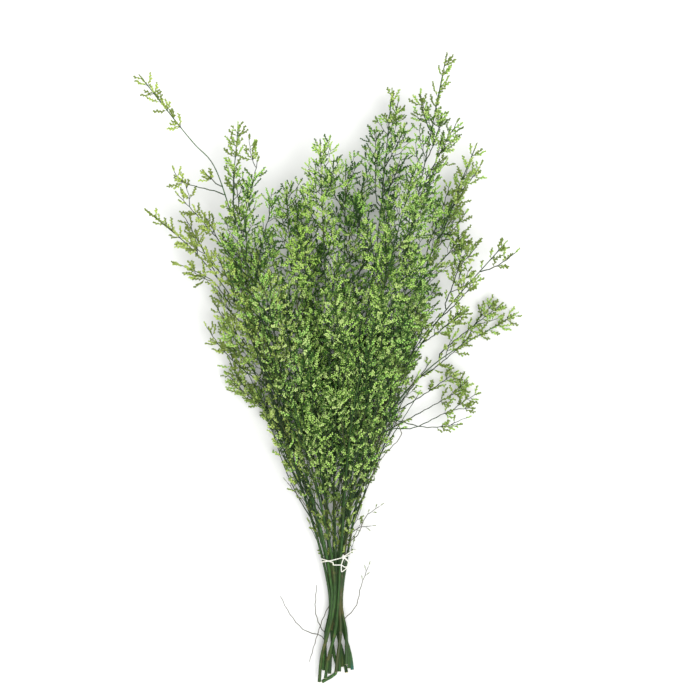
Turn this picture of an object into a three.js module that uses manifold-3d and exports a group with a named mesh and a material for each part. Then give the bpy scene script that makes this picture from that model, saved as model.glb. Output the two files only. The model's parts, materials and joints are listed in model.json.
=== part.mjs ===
// A tied bunch of dried sea lavender, lying on its side.
// Millimetres. X runs across the bunch, Y along it from the cut ends to the flowers, and Z up from
// the surface that it lies on. Each flowering stem is one grown body, and the string is one more.

import * as THREE from 'three';
import Module from 'manifold-3d';

// Stems
const STEM_RADIUS = 1.5;
const STEM_TOP_RADIUS = 0.9;
const STEM_SIDES = 6;
const STEM_STEP = 42; // the most between two rings of a stem
const FOOT_LENGTH = 18; // of a stem from its cut end, which lies flat on the lowest stem
const STEM_PITCH = 3.65; // between the middles of neighbouring stems at the grip
const TOP_FLOWERING = 62; // the stretch under a stem's tip that carries spikes itself

// Branches and twigs
const TWIG_SIDES = 3;
const BRANCH_RADIUS = 0.85;
const TWIG_RADIUS = 0.75;
const BARE_TWIG_RADIUS = 0.6;
const BARE_STEP = 22; // the most between two rings of a branch
const BARE_TWIG_STEP = 9; // the same, on a bare twig that curls
const BARE_END = 5; // the point of a bare twig
const LEAST_ROOT = 7; // from a branch's start to its first flowers
const BRANCH_PITCH = 29; // along the stem, from one branch to the next
const BRANCH_LENGTH = { low: 84, high: 36 }; // at the lowest flowers and near the tip
const BRANCH_BARE = 0.38; // share of a branch that carries no spikes
const BRANCH_LEAVES_AT = 44; // degrees from the stem, where a branch starts
const BRANCH_ENDS_AT = 27; // degrees from the stem, from its start to its tip
const GOLDEN_ANGLE = 137.5;
const TWIG_LENGTH = 27;
const TWIG_BARE = 0.25;
const LONG_BRANCH = 52; // a branch over this carries twigs of its own
const TWIG_EVERY = 4; // clusters, from one twig to the next

// Flower spikes, which leave a twig in clusters of up to six
const CLUSTER_PITCH = 10;
const CLUSTER_LENGTH = 2.8;
const SPIKE_LENGTH = { least: 7, most: 13 };
const SPIKE_TURN = 26; // degrees off the middle of the twig's side
const SPIKE_LEAN = { low: 56, high: 34 }; // degrees from the twig
const SPIKE_SHARE = 0.56; // of the places in a cluster that hold a spike
const SPIKE_BASE_RADIUS = 0.9;
const END_SPIKE = 8;
const MOST_PRESSED = 1.5; // how far the surface bends a spike up by its tip

// Room kept between two pieces that don't touch
const GAP = 0.4;
const MOST_TRIES = 9;
const SHIFT = 1.4; // up or down, for a branch set by hand that meets another

// The handle, from the cut ends to the string. The stems keep one close pattern, which is widened
// and turned about the bunch's middle, so that they cross at the grip without touching.
const HANDLE = [
  { y: -300, x: 7, z: 9.8, wide: 2.65, high: 1.65, turn: 58 },
  { y: -272, x: 6.5, z: 10.4, wide: 2.5, high: 1.6, turn: 40 },
  { y: -250, x: 6.5, z: 12, wide: 1.9, high: 1.4, turn: 20 },
  { y: -225, x: 6.5, z: 13.5, wide: 1, high: 1, turn: 0 },
  { y: -183, x: 5.5, z: 17, wide: 2, high: 1.35, turn: -8 },
];

const HANDLE_RINGS = [-250, -225, -204, -183, -150, -110, -70]; // the Y of every stem's bare rings

// The stems. slot is the stem's place in the pattern, across and up, and cut is the Y of its cut end.
// route is its way above the string, to its tip. flowers is the Y from which it branches.
// A spray is a branch with its tip set by hand, and a bare twig has few flowers or none.
const STEMS = [
  {
    name: 'stem_01', slot: [-1, 1], cut: -287, green: 2, flowers: [-20, 118],
    route: [[-44, -20, 56], [-92, 150, 84], [-110, 198, 86], [-127, 216, 86], [-178, 280, 84]],
    sprays: [
      { from: 92, way: [[-108, 130, 76], [-144, 170, 78]], bare: 0.35 },
      { from: 168, way: [[-141, 182, 82], [-147, 194, 82]], bare: 0.7 },
      { from: 176, way: [[-118, 190, 90]], bare: 0.5 },
    ],
  },
  {
    name: 'stem_02', slot: [-0.5, 2], cut: -298, green: 1, flowers: [-30, 190],
    route: [[-36, -20, 70], [-88, 145, 98], [-85, 234, 100]],
    sprays: [
      { from: 78, way: [[-62, 126, 88], [-50, 166, 88]], bare: 0.25 },
      { from: 120, way: [[-74, 165, 98], [-66, 202, 96]], bare: 0.3 },
    ],
    bare: [{ from: -258, way: [[-24, -248, 14], [-38, -232, 16], [-47, -215, 18]] }],
  },
  {
    name: 'stem_03', slot: [-1.5, 0], cut: -286, green: 2, flowers: [-40, 120],
    route: [[-44, -55, 38], [-80, 50, 52], [-125, 112, 56], [-174, 155, 58]],
    sprays: [{ from: 62, way: [[-112, 88, 46], [-147, 105, 42]], bare: 0.35 }],
    bare: [{ from: -250, way: [[-13, -230, 22], [-12, -204, 24]] }],
  },
  {
    name: 'stem_04', slot: [-1, -1], cut: -289, green: 1, flowers: [-70, 70],
    route: [[-28, -90, 17], [-56, -5, 25], [-78, 60, 26], [-88, 124, 27]],
    broken: [-7, -299, 1.4],
    sprays: [
      { from: -20, way: [[-84, 16, 20], [-106, 47, 18]], bare: 0.4 },
      { from: -48, way: [[-76, -24, 18], [-100, 0, 14]], bare: 0.4 },
      { from: -75, way: [[-58, -44, 12], [-80, -14, 10]], bare: 0.5 },
      { from: -98, way: [[-42, -68, 12], [-56, -42, 10]], bare: 0.5 },
    ],
  },
  {
    name: 'stem_05', slot: [-0.5, 0], cut: -248, green: 0, flowers: [-105, 150],
    route: [[-14, -30, 44], [-34, 90, 60], [-41, 180, 62]],
    sprays: [{ from: 38, way: [[-50, 92, 66], [-60, 134, 70]], bare: 0.2 }],
    bare: [{ from: -150, way: [[-28, -120, 36], [-40, -105, 40]] }],
  },
  {
    name: 'stem_06', slot: [0, 1], cut: -290, green: 0, flowers: [-120, 170],
    route: [[2, -30, 64], [-4, 100, 90], [-8, 218, 94]],
    sprays: [],
  },
  {
    name: 'stem_07', slot: [0, -1], cut: -284, green: 1, flowers: [-105, 165],
    route: [[6, -30, 27], [14, 100, 33], [16, 203, 33]],
    sprays: [{ from: 118, way: [[26, 150, 30], [35, 191, 28]], bare: 0.3 }],
  },
  {
    name: 'stem_08', slot: [0.5, 0], cut: -288, green: 1, flowers: [-90, 225],
    route: [[22, -30, 44], [44, 110, 60], [60, 268, 66]],
    sprays: [{ from: 158, way: [[44, 200, 62], [45, 232, 60]], bare: 0.3 }],
  },
  {
    name: 'stem_09', slot: [1, 1], cut: -288, green: 1, flowers: [-25, 255],
    route: [[36, -30, 66], [76, 130, 90], [111, 300, 94]],
    sprays: [{ from: 172, way: [[104, 205, 92], [122, 238, 96]], bare: 0.3 }],
  },
  {
    name: 'stem_10', slot: [1, -1], cut: -285, green: 1, flowers: [-45, 180],
    route: [[40, -30, 30], [88, 90, 37], [141, 218, 40]],
    sprays: [
      { from: 128, way: [[122, 170, 44], [134, 198, 46]], bare: 0.3 },
      { from: 110, way: [[106, 150, 36], [116, 181, 34]], bare: 0.3 },
    ],
  },
  {
    name: 'stem_11', slot: [1.5, 0], cut: -281, green: 1, flowers: [-20, 100],
    route: [[46, -50, 42], [98, 42, 60], [168, 124, 68]],
    sprays: [
      { from: 60, way: [[117, 82, 71], [124, 106, 75], [126, 125, 76]], bare: 0.12 },
      { from: -62, way: [[60, -54, 42], [80, -53, 40], [118, -36, 38], [138, -34, 40]], bare: 0.72 },
      { from: -44, way: [[92, -52, 48], [126, -49, 46]], bare: 0.75 },
    ],
    bare: [{ from: -70, way: [[61, -46, 52], [69, -58, 54], [52, -79, 52], [40, -99, 50]] }],
  },
  {
    name: 'stem_12', slot: [0.5, -2], cut: -287, green: 1, flowers: [-50, 40],
    route: [[34, -80, 10], [92, 0, 12], [181, 57, 16]],
    sprays: [
      { from: 12, way: [[135, 42, 20], [166, 66, 24]], bare: 0.5 },
      { from: -42, way: [[90, -22, 14], [122, 0, 12]], bare: 0.6 },
      { from: -60, way: [[96, -34, 16], [133, -13, 20]], bare: 0.7 },
    ],
    bare: [{ from: -165, way: [[28, -150, 8], [40, -148, 10]] }],
  },
  {
    name: 'stem_13', slot: [0.5, 2], cut: -294, green: 0, flowers: [-25, 150],
    route: [[24, -30, 80], [54, 90, 108], [80, 192, 112]],
    sprays: [],
    bare: [{ from: -168, way: [[27, -156, 30], [35, -138, 34], [48, -128, 38]] }],
  },
  {
    name: 'stem_14', slot: [-0.5, -2], cut: -290, green: 1, flowers: [-95, 120],
    route: [[-8, -60, 8], [-20, 60, 12], [-28, 164, 14]],
    sprays: [],
  },
];
const GREENS = [0x7f9a4a, 0x5f8638, 0x93a155];
const STEM_ROUGHNESS = 0.85;
const STRING_COLOUR = 0xeeeee8;
const STRING_ROUGHNESS = 0.7;

// The string: turns round the bunch at the tie, each with its middle and its slant along Y
const STRING_RADIUS = 0.8;
const STRING_SIDES = 5;
const STRING_STEPS = 20;
const STRING_TURNS = [
  { y: -179, slant: 3 },
  { y: -183, slant: -4 },
];
const KNOT_TURN = 38; // degrees from +X towards +Z, where the knot lies on the bunch
const KNOT_STANDS_OUT = 2;
const KNOT_RADIUS = 1.7;
const KNOT_LOOP_RADIUS = 1.5;
const KNOT_LOOP_STEPS = 12;
const STRING_ENDS = [
  [[0, 0, 0], [4, -4, 1], [9, -8, 1], [11, -14, -3]],
  [[0, 0, 0], [4, 3, 1], [9, 6, 2], [15, 7, -1]],
];

const wasm = await Module();
wasm.setup();

const ACROSS = new THREE.Vector3(1, 0, 0);
const ALONG = new THREE.Vector3(0, 1, 0);
const radians = THREE.MathUtils.degToRad;
const { lerp, clamp } = THREE.MathUtils;
const vector = ([x, y, z]) => new THREE.Vector3(x, y, z);

// A seeded draw of numbers from 0 to 1, the same in every run
function draws(seed) {
  let state = Math.imul(seed, 2654435761) >>> 0;
  return () => {
    state = (Math.imul(state, 1664525) + 1013904223) >>> 0;
    return state / 4294967296;
  };
}

// Numbers from first to last, a step apart
function series(first, last, step) {
  const found = [];
  for (let s = first; s <= last; s += step) found.push(s);
  return found;
}

// A smooth line, read by the length along it
class Line {
  constructor(curve, samples) {
    this.points = curve.getPoints(samples);
    this.lengths = [0];
    for (let i = 1; i <= samples; i += 1) {
      this.lengths.push(this.lengths[i - 1] + this.points[i].distanceTo(this.points[i - 1]));
    }
    this.length = this.lengths[samples];
  }

  at(s) {
    let i = 1;
    while (i < this.lengths.length - 1 && this.lengths[i] < s) i += 1;
    const share = (s - this.lengths[i - 1]) / (this.lengths[i] - this.lengths[i - 1]);
    return this.points[i - 1].clone().lerp(this.points[i], share);
  }

  whereY(y) {
    const i = Math.max(this.points.findIndex((p) => p.y >= y), 1);
    const share = (y - this.points[i - 1].y) / (this.points[i].y - this.points[i - 1].y);
    return lerp(this.lengths[i - 1], this.lengths[i], share);
  }
}

const LINE_SAMPLES = 160;
const BEND_SAMPLES = 24;
const through = (points) => new Line(new THREE.CatmullRomCurve3(points, false, 'centripetal'), LINE_SAMPLES);

// What already stands where: tapered pieces between two points, found by the cells that they cross
const CELL = 12;
const room = new Map();

function cellsOf(piece) {
  const reach = Math.max(piece.ra, piece.rb) + GAP;
  const low = piece.a.clone().min(piece.b).subScalar(reach).divideScalar(CELL).floor();
  const high = piece.a.clone().max(piece.b).addScalar(reach).divideScalar(CELL).floor();
  const keys = [];
  for (let i = low.x; i <= high.x; i += 1) {
    for (let j = low.y; j <= high.y; j += 1) {
      for (let k = low.z; k <= high.z; k += 1) keys.push(`${i},${j},${k}`);
    }
  }
  return keys;
}

function occupy(piece) {
  for (const key of cellsOf(piece)) {
    if (!room.has(key)) room.set(key, []);
    room.get(key).push(piece);
  }
}

// The least distance between two tapered pieces, less their radii where they come closest
function spaceBetween(p, q) {
  const along = p.b.clone().sub(p.a);
  const other = q.b.clone().sub(q.a);
  const apart = p.a.clone().sub(q.a);
  const a = along.lengthSq();
  const b = along.dot(other);
  const c = along.dot(apart);
  const e = other.lengthSq();
  const f = other.dot(apart);
  const skew = a * e - b * b;
  const first = skew > 1e-9 ? clamp((b * f - c * e) / skew, 0, 1) : 0;
  const t = clamp((b * first + f) / e, 0, 1);
  const s = clamp((b * t - c) / a, 0, 1);
  const near = p.a.clone().addScaledVector(along, s);
  const far = q.a.clone().addScaledVector(other, t);
  return near.distanceTo(far) - lerp(p.ra, p.rb, s) - lerp(q.ra, q.rb, t);
}

// True if a piece keeps its gap to all that stands there, apart from the limbs that it may touch
function isClear(piece, touching) {
  const meets = (other) => !touching.includes(other.limb) && spaceBetween(piece, other) <= GAP;
  return cellsOf(piece).every((key) => !(room.get(key) || []).some(meets));
}

// A body under growth: its points, and its faces, of which one that is grown over is null
class Body {
  constructor() {
    this.points = [];
    this.faces = [];
  }

  point(p) {
    return this.points.push(p) - 1;
  }

  face(a, b, c) {
    return this.faces.push([a, b, c]) - 1;
  }

  // The wall between two rings, which may differ in number. It gives each side's faces, lower first.
  sleeve(low, high) {
    const sides = [];
    let i = 0;
    let j = 0;
    while (i < low.length || j < high.length) {
      const a = low[i % low.length];
      const d = high[j % high.length];
      const lowNext = (i + 1) / low.length <= (j + 1) / high.length;
      if (j === high.length || (i < low.length && lowNext)) {
        i += 1;
        sides.push([this.face(a, low[i % low.length], d)]);
      } else {
        j += 1;
        sides[sides.length - 1].push(this.face(a, high[j % high.length], d));
      }
    }
    return sides;
  }

  flatEnd(ring, facesBack) {
    for (let k = 1; k < ring.length - 1; k += 1) {
      if (facesBack) this.face(ring[0], ring[k + 1], ring[k]);
      else this.face(ring[0], ring[k], ring[k + 1]);
    }
  }

  pointedEnd(ring, tip) {
    const top = this.point(tip);
    ring.forEach((a, k) => this.face(a, ring[(k + 1) % ring.length], top));
  }

  // Takes a face away and gives its corners, for what grows from it
  open(face) {
    const corners = this.faces[face];
    this.faces[face] = null;
    return corners;
  }

  geometry() {
    const made = new THREE.BufferGeometry();
    made.setFromPoints(this.points);
    made.setIndex(this.faces.filter((f) => f).flat());
    return made.toNonIndexed();
  }
}

// A direction out of a ring, at an angle from its first direction across
function outward(ring, angle) {
  return ring.u.clone().multiplyScalar(Math.cos(angle)).addScaledVector(ring.v, Math.sin(angle));
}

// A ring's corners as points of a body. None lies under the surface.
function cornersOf(body, ring, sides) {
  return Array.from({ length: sides }, (_, k) => {
    const p = ring.p.clone().addScaledVector(outward(ring, (2 * Math.PI * k) / sides), ring.r);
    p.z = Math.max(p.z, 0);
    return body.point(p);
  });
}

// A ring whose directions across follow a given one
function ringAt(p, way, across, r) {
  const u = across.clone().addScaledVector(way, -across.dot(way)).normalize();
  return { p, way, u, v: way.clone().cross(u), r };
}

// The rings of a limb along its line, with a flat side down on a main stem
function ringsAlong(line, places, radiusAt, across, isMain) {
  const middles = places.map((s) => {
    const p = line.at(s);
    p.z = Math.max(p.z, radiusAt(s) * Math.cos(Math.PI / STEM_SIDES));
    return p;
  });
  let side = across;
  return middles.map((p, i) => {
    const before = middles[i - 1] || (middles.length > 1 ? p : line.at(0));
    const after = middles[i + 1] || p;
    const way = after.clone().sub(before).normalize();
    const ring = ringAt(p, way, side, radiusAt(places[i]));
    if (!isMain) side = ring.u;
    return ring;
  });
}

// The places of a limb's rings: set ones, pairs round the clusters, and even steps where they lie far apart
function placesOf(set, clusters, step) {
  const half = CLUSTER_LENGTH / 2;
  const single = set.filter((s) => clusters.every((c) => Math.abs(s - c) > CLUSTER_LENGTH));
  const rings = [...single, ...clusters.flatMap((c) => [c - half, c + half])].sort((a, b) => a - b);
  const places = rings.flatMap((s, i) => {
    const before = i ? rings[i - 1] : 0;
    const parts = Math.max(1, Math.round((s - before) / step));
    return Array.from({ length: parts }, (_, k) => lerp(before, s, (k + 1) / parts));
  });
  return { places, paired: clusters.map((c) => places.findIndex((s) => s > c) - 1) };
}

const limbs = [];

// A limb: its rings, its clusters and its tip, before any wall is made
function planLimb(line, { set, clusters, step, radiusAt, across, root }) {
  const { places, paired } = placesOf(set, clusters, step);
  const rings = ringsAlong(line, places, radiusAt, across, !root);
  const tip = line.at(line.length);
  tip.z = Math.max(tip.z, 0);
  const clusterRing = (i) => ({ ...rings[i], p: rings[i].p.clone().lerp(rings[i + 1].p, 0.5) });
  return {
    id: limbs.length,
    line,
    rings,
    paired,
    root,
    tip,
    clusters: paired.map((i, k) => ({ s: clusters[k], ring: clusterRing(i), faces: [], taken: [] })),
  };
}

// The tapered pieces that a limb's rings enclose, from its root to its tip
function piecesOf(limb) {
  const stops = limb.rings.map(({ p, r }) => ({ p, r }));
  if (limb.root) stops.unshift({ p: limb.root, r: limb.rings[0].r });
  stops.push({ p: limb.tip, r: 0 });
  return stops.slice(1).map((stop, i) => (
    { a: stops[i].p, b: stop.p, ra: stops[i].r, rb: stop.r, limb: limb.id }));
}

function keep(limb) {
  limbs.push(limb);
  piecesOf(limb).forEach(occupy);
  return limb;
}

// The same ring, begun at the corner that twists the wall least, as seen along the limb
function leastTwisted(body, low, high, way) {
  const seen = (corners) => {
    const flat = corners.map((c) => body.points[c].clone().projectOnPlane(way));
    const middle = flat.reduce((sum, p) => sum.add(p), new THREE.Vector3()).divideScalar(flat.length);
    return new Map(corners.map((c, k) => [c, flat[k].sub(middle)]));
  };
  const from = seen(low);
  const to = seen(high);
  const turns = high.map((_, k) => [...high.slice(k), ...high.slice(0, k)]);
  const twist = (turn) => turn.reduce((sum, h, k) => sum + to.get(h).angleTo(from.get(low[k])), 0);
  return turns.reduce((best, turn) => (twist(turn) < twist(best) - 1e-6 ? turn : best));
}

const sideAngle = (k, sides) => ((k + 0.5) * 2 * Math.PI) / sides;

// A cluster's faces, in the order of the ring's sides that they lie on
function inOrder(body, ring, faces) {
  const ordered = [];
  for (const pair of faces) {
    const middle = new THREE.Vector3();
    pair.forEach((face) => body.faces[face].forEach((c) => middle.add(body.points[c]).sub(ring.p)));
    const angle = Math.atan2(middle.dot(ring.v), middle.dot(ring.u));
    ordered[Math.floor((angle / (2 * Math.PI) + 1) * faces.length) % faces.length] = pair;
  }
  return ordered;
}

// Builds a limb's wall ring by ring, and keeps the faces of each cluster for what grows there
function buildWall(body, limb, start, sidesAt) {
  let low = start;
  limb.rings.forEach((ring, i) => {
    let high = cornersOf(body, ring, sidesAt(i));
    if (low) {
      if (low.length === high.length) high = leastTwisted(body, low, high, ring.way);
      const faces = body.sleeve(low, high);
      const cluster = limb.clusters[limb.paired.indexOf(i - 1)];
      if (cluster) cluster.faces = inOrder(body, cluster.ring, faces);
    } else {
      body.flatEnd(high, true);
    }
    low = high;
  });
  body.pointedEnd(low, limb.tip);
}

// The handle's pattern at one Y, from the rows before and after it
function handleRow(y) {
  const next = clamp(HANDLE.findIndex((row) => row.y >= y), 1, HANDLE.length - 1);
  const low = HANDLE[next - 1];
  const high = HANDLE[next];
  const share = (y - low.y) / (high.y - low.y);
  return Object.fromEntries(Object.keys(low).map((key) => [key, lerp(low[key], high[key], share)]));
}

function handlePoint(slot, row) {
  const turn = radians(row.turn);
  const u = slot[0] * STEM_PITCH;
  const v = slot[1] * STEM_PITCH * Math.sin(Math.PI / 3);
  const across = u * Math.cos(turn) - v * Math.sin(turn);
  const up = u * Math.sin(turn) + v * Math.cos(turn);
  return new THREE.Vector3(row.x + row.wide * across, row.y, row.z + row.high * up);
}

// A main stem, from its cut end to its tip
function growStem(stem) {
  const rows = [handleRow(stem.cut), ...HANDLE.filter((row) => row.y > stem.cut + FOOT_LENGTH / 2)];
  const broken = stem.broken ? [vector(stem.broken)] : [];
  const handle = rows.map((row) => handlePoint(stem.slot, row));
  const line = through([...broken, ...handle, ...stem.route.map(vector)]);

  const byHand = [...stem.sprays, ...stem.bare].map((spray) => line.whereY(spray.from));
  const byRule = series(line.whereY(stem.flowers[0]), line.whereY(stem.flowers[1]), BRANCH_PITCH);
  const top = line.length - (stem.top || TOP_FLOWERING);
  const clusters = [];
  [...byHand, ...byRule, ...series(top, line.length - END_SPIKE, CLUSTER_PITCH)].forEach((s) => {
    if (clusters.every((c) => Math.abs(s - c) > 2 * CLUSTER_LENGTH)) clusters.push(s);
  });
  clusters.sort((a, b) => a - b);

  const handleRings = HANDLE_RINGS.map((y) => line.whereY(y)).filter((s) => s > 1.5 * FOOT_LENGTH);
  const limb = keep(planLimb(line, {
    set: [0, FOOT_LENGTH, ...handleRings.filter((s) => s < byRule[0])],
    clusters,
    step: STEM_STEP,
    radiusAt: (s) => lerp(STEM_RADIUS, STEM_TOP_RADIUS, s / line.length),
    across: ACROSS,
  }));
  const slimFrom = limb.paired[clusters.indexOf(byRule.find((s) => clusters.includes(s)))];
  const body = new Body();
  buildWall(body, limb, null, (i) => (i < slimFrom ? STEM_SIDES : TWIG_SIDES));
  return { ...stem, body, limb, byRule, top: limb.clusters.filter((c) => c.s >= top) };
}

// The side of a cluster that best faces a wanted direction, of those that nothing has grown from
function sideToward(cluster, wanted) {
  const facing = (k) => outward(cluster.ring, sideAngle(k, cluster.faces.length)).dot(wanted);
  const open = cluster.faces.map((_, k) => k).filter((k) => !cluster.taken.includes(k));
  return open.sort((j, k) => facing(k) - facing(j))[0];
}

// Grows a limb from one side of a cluster, if there is room for it
function growFrom(body, parent, cluster, side, line, { bare, radius, step }) {
  const sides = cluster.faces.length;
  const away = outward(cluster.ring, sideAngle(side, sides));
  const first = Math.max(bare * line.length, LEAST_ROOT);
  const limb = planLimb(line, {
    set: bare < 1 ? [] : [line.length - BARE_END],
    clusters: bare < 1 ? series(first, line.length - END_SPIKE, CLUSTER_PITCH) : [],
    step,
    radiusAt: () => radius,
    across: cluster.ring.way,
    root: cluster.ring.p.clone().addScaledVector(away, cluster.ring.r * Math.cos(Math.PI / sides)),
  });
  const free = limb.rings.length && piecesOf(limb).every((piece, i) => isClear(piece, i ? [] : [parent.id]));
  if (!free) return null;
  cluster.taken.push(side);
  buildWall(body, limb, body.open(cluster.faces[side][1]), () => TWIG_SIDES);
  return keep(limb);
}

// A branch by rule. It leaves at one angle and bends up to another, and is drawn again until it is clear.
function growByRule(body, parent, cluster, length, turnFrom, draw, size) {
  const { way } = cluster.ring;
  for (let attempt = 0; attempt < MOST_TRIES; attempt += 1) {
    const wanted = outward(cluster.ring, turnFrom + radians(attempt * 70 + lerp(-15, 15, draw())));
    const side = sideToward(cluster, wanted);
    if (side === undefined) return null;
    const turn = sideAngle(side, cluster.faces.length) + radians(lerp(-22, 22, draw()));
    const away = outward(cluster.ring, turn);
    const leaves = radians(BRANCH_LEAVES_AT + lerp(-6, 6, draw()));
    const ends = radians(BRANCH_ENDS_AT + lerp(-7, 7, draw()));
    const reach = length * lerp(0.85, 1.15, draw()) * 0.94 ** attempt;
    const leaning = (a) => way.clone().multiplyScalar(Math.cos(a)).addScaledVector(away, Math.sin(a));
    const start = cluster.ring.p.clone().addScaledVector(away, cluster.ring.r);
    const middle = start.clone().addScaledVector(leaning(leaves), reach / 2);
    const tip = start.clone().addScaledVector(leaning(ends), reach);
    [middle, tip].forEach((p) => { p.z = Math.max(p.z, size.radius); });
    const line = new Line(new THREE.QuadraticBezierCurve3(start, middle, tip), BEND_SAMPLES);
    const grown = growFrom(body, parent, cluster, side, line, size);
    if (grown) return grown;
  }
  return null;
}

// A branch whose way is set by hand. It is raised or lowered a little until it is clear.
function growByHand(body, parent, cluster, way, size) {
  const side = sideToward(cluster, vector(way[0]).sub(cluster.ring.p));
  const away = outward(cluster.ring, sideAngle(side, cluster.faces.length));
  const start = cluster.ring.p.clone().addScaledVector(away, cluster.ring.r);
  const leaving = start.clone().addScaledVector(away, 3).addScaledVector(cluster.ring.way, 3);
  for (let attempt = 0; attempt < 3 * MOST_TRIES; attempt += 1) {
    const shift = (attempt % 2 ? -1 : 1) * Math.ceil(attempt / 2) * SHIFT;
    const rest = way.map(([x, y, z]) => new THREE.Vector3(x, y, Math.max(z + shift, size.radius)));
    const grown = growFrom(body, parent, cluster, side, through([start, leaving, ...rest]), size);
    if (grown) return grown;
  }
  return null;
}

// A spike on one face of a cluster, if there is room for it
function growSpike(body, limb, cluster, side, upper, draw) {
  const turn = (upper ? SPIKE_TURN : -SPIKE_TURN) + lerp(-8, 8, draw());
  const lean = radians((upper ? SPIKE_LEAN.high : SPIKE_LEAN.low) + lerp(-5, 5, draw()));
  const length = lerp(SPIKE_LENGTH.least, SPIKE_LENGTH.most, draw());
  const away = outward(cluster.ring, sideAngle(side, cluster.faces.length) + radians(turn));
  const start = cluster.ring.p.clone().addScaledVector(away, cluster.ring.r / 2);
  const tip = start.clone()
    .addScaledVector(cluster.ring.way, length * Math.cos(lean))
    .addScaledVector(away, length * Math.sin(lean));
  if (tip.z < -MOST_PRESSED) return;
  tip.z = Math.max(tip.z, 0);
  const piece = { a: start, b: tip, ra: SPIKE_BASE_RADIUS, rb: 0, limb: limb.id };
  if (!isClear(piece, [limb.id])) return;
  occupy(piece);
  body.pointedEnd(body.open(cluster.faces[side][upper]), tip);
}

const BRANCH = { bare: BRANCH_BARE, radius: BRANCH_RADIUS, step: BARE_STEP };
const TWIG = { bare: TWIG_BARE, radius: TWIG_RADIUS, step: BARE_STEP };
const BARE_TWIG = { bare: 1, radius: BARE_TWIG_RADIUS, step: BARE_TWIG_STEP };

const stems = STEMS.map((stem) => growStem({ sprays: [], bare: [], ...stem }));
const flowering = [];

function atLength(limb, s) {
  return limb.clusters.find((cluster) => cluster.s === s);
}

// Branches and bare twigs that are set by hand
for (const { body, limb, sprays, bare } of stems) {
  for (const spray of sprays) {
    const cluster = atLength(limb, limb.line.whereY(spray.from));
    const branch = growByHand(body, limb, cluster, spray.way, { ...BRANCH, bare: spray.bare });
    if (branch) flowering.push({ body, limb: branch, clusters: branch.clusters });
  }
  for (const twig of bare) {
    growByHand(body, limb, atLength(limb, limb.line.whereY(twig.from)), twig.way, BARE_TWIG);
  }
}

// Branches by rule, long on the low part of a stem and short near its tip
stems.forEach(({ body, limb, byRule }, n) => {
  const draw = draws(100 + n);
  byRule.forEach((s, k) => {
    const cluster = atLength(limb, s);
    if (!cluster) return;
    const length = lerp(BRANCH_LENGTH.low, BRANCH_LENGTH.high, k / byRule.length);
    const branch = growByRule(body, limb, cluster, length, radians(k * GOLDEN_ANGLE), draw, BRANCH);
    if (branch) flowering.push({ body, limb: branch, clusters: branch.clusters });
  });
});

// Twigs on the long branches
[...flowering].forEach(({ body, limb, clusters }, n) => {
  if (limb.line.length < LONG_BRANCH) return;
  const draw = draws(1000 + n);
  clusters.filter((_, k) => k % TWIG_EVERY === 1).forEach((cluster, k) => {
    const twig = growByRule(body, limb, cluster, TWIG_LENGTH, radians(k * 90), draw, TWIG);
    if (twig) flowering.push({ body, limb: twig, clusters: twig.clusters });
  });
});

// Spikes, from what is left open of each cluster
stems.forEach(({ body, limb, top }) => flowering.push({ body, limb, clusters: top }));
flowering.forEach(({ body, limb, clusters }, n) => {
  const draw = draws(5000 + n);
  for (const cluster of clusters) {
    cluster.faces.forEach((faces, side) => faces.forEach((face, upper) => {
      if (draw() < SPIKE_SHARE && body.faces[face]) growSpike(body, limb, cluster, side, upper, draw);
    }));
  }
});

// The middle of a main stem at one Y, on the straight lines between its rings
function middleAt(limb, y) {
  const i = clamp(limb.rings.findIndex((ring) => ring.p.y >= y), 1, limb.rings.length - 1);
  const low = limb.rings[i - 1].p;
  const high = limb.rings[i].p;
  return low.clone().lerp(high, (y - low.y) / (high.y - low.y));
}

// The string's middle where it passes round the bunch in one direction, seen along Y
function roundBunch(angle, { y, slant }) {
  const out = new THREE.Vector3(Math.cos(angle), 0, Math.sin(angle));
  const middles = stems.map(({ limb }) => middleAt(limb, y + slant * Math.cos(angle)));
  const furthest = middles.reduce((best, p) => (p.dot(out) > best.dot(out) ? p : best));
  return { p: furthest.addScaledVector(out, STEM_RADIUS + GAP + STRING_RADIUS), out };
}

function asSolid(geometry) {
  const vertProperties = geometry.getAttribute('position').array;
  const triVerts = Uint32Array.from({ length: vertProperties.length / 3 }, (_, i) => i);
  const mesh = new wasm.Mesh({ numProp: 3, vertProperties, triVerts });
  mesh.merge();
  return new wasm.Manifold(mesh);
}

// A closed loop of string through rings that already have their directions across
function closedLoop(rings) {
  const body = new Body();
  const corners = rings.map((ring) => cornersOf(body, ring, STRING_SIDES));
  corners.forEach((low, i) => body.sleeve(low, corners[(i + 1) % corners.length]));
  return asSolid(body.geometry());
}

function stringTurn(turn) {
  return closedLoop(Array.from({ length: STRING_STEPS }, (_, k) => {
    const { p, out } = roundBunch((2 * Math.PI * k) / STRING_STEPS, turn);
    return { p, u: out, v: ALONG, r: STRING_RADIUS };
  }));
}

// The knot: a firm middle with one loop of string round it
const knotAngle = radians(KNOT_TURN);
const knotSeat = roundBunch(knotAngle, STRING_TURNS[0]);
const knotMiddle = knotSeat.p.clone().addScaledVector(knotSeat.out, KNOT_STANDS_OUT);

function knotCore() {
  const core = new THREE.IcosahedronGeometry(KNOT_RADIUS, 0);
  return asSolid(core.translate(...knotMiddle.toArray()));
}

function knotLoop() {
  const round = new THREE.Vector3().crossVectors(ALONG, knotSeat.out);
  return closedLoop(Array.from({ length: KNOT_LOOP_STEPS }, (_, k) => {
    const angle = (2 * Math.PI * k) / KNOT_LOOP_STEPS;
    const out = knotSeat.out.clone().multiplyScalar(Math.cos(angle)).addScaledVector(ALONG, Math.sin(angle));
    const p = knotMiddle.clone().addScaledVector(out, KNOT_LOOP_RADIUS);
    return { p, u: out, v: round, r: STRING_RADIUS };
  }));
}

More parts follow.
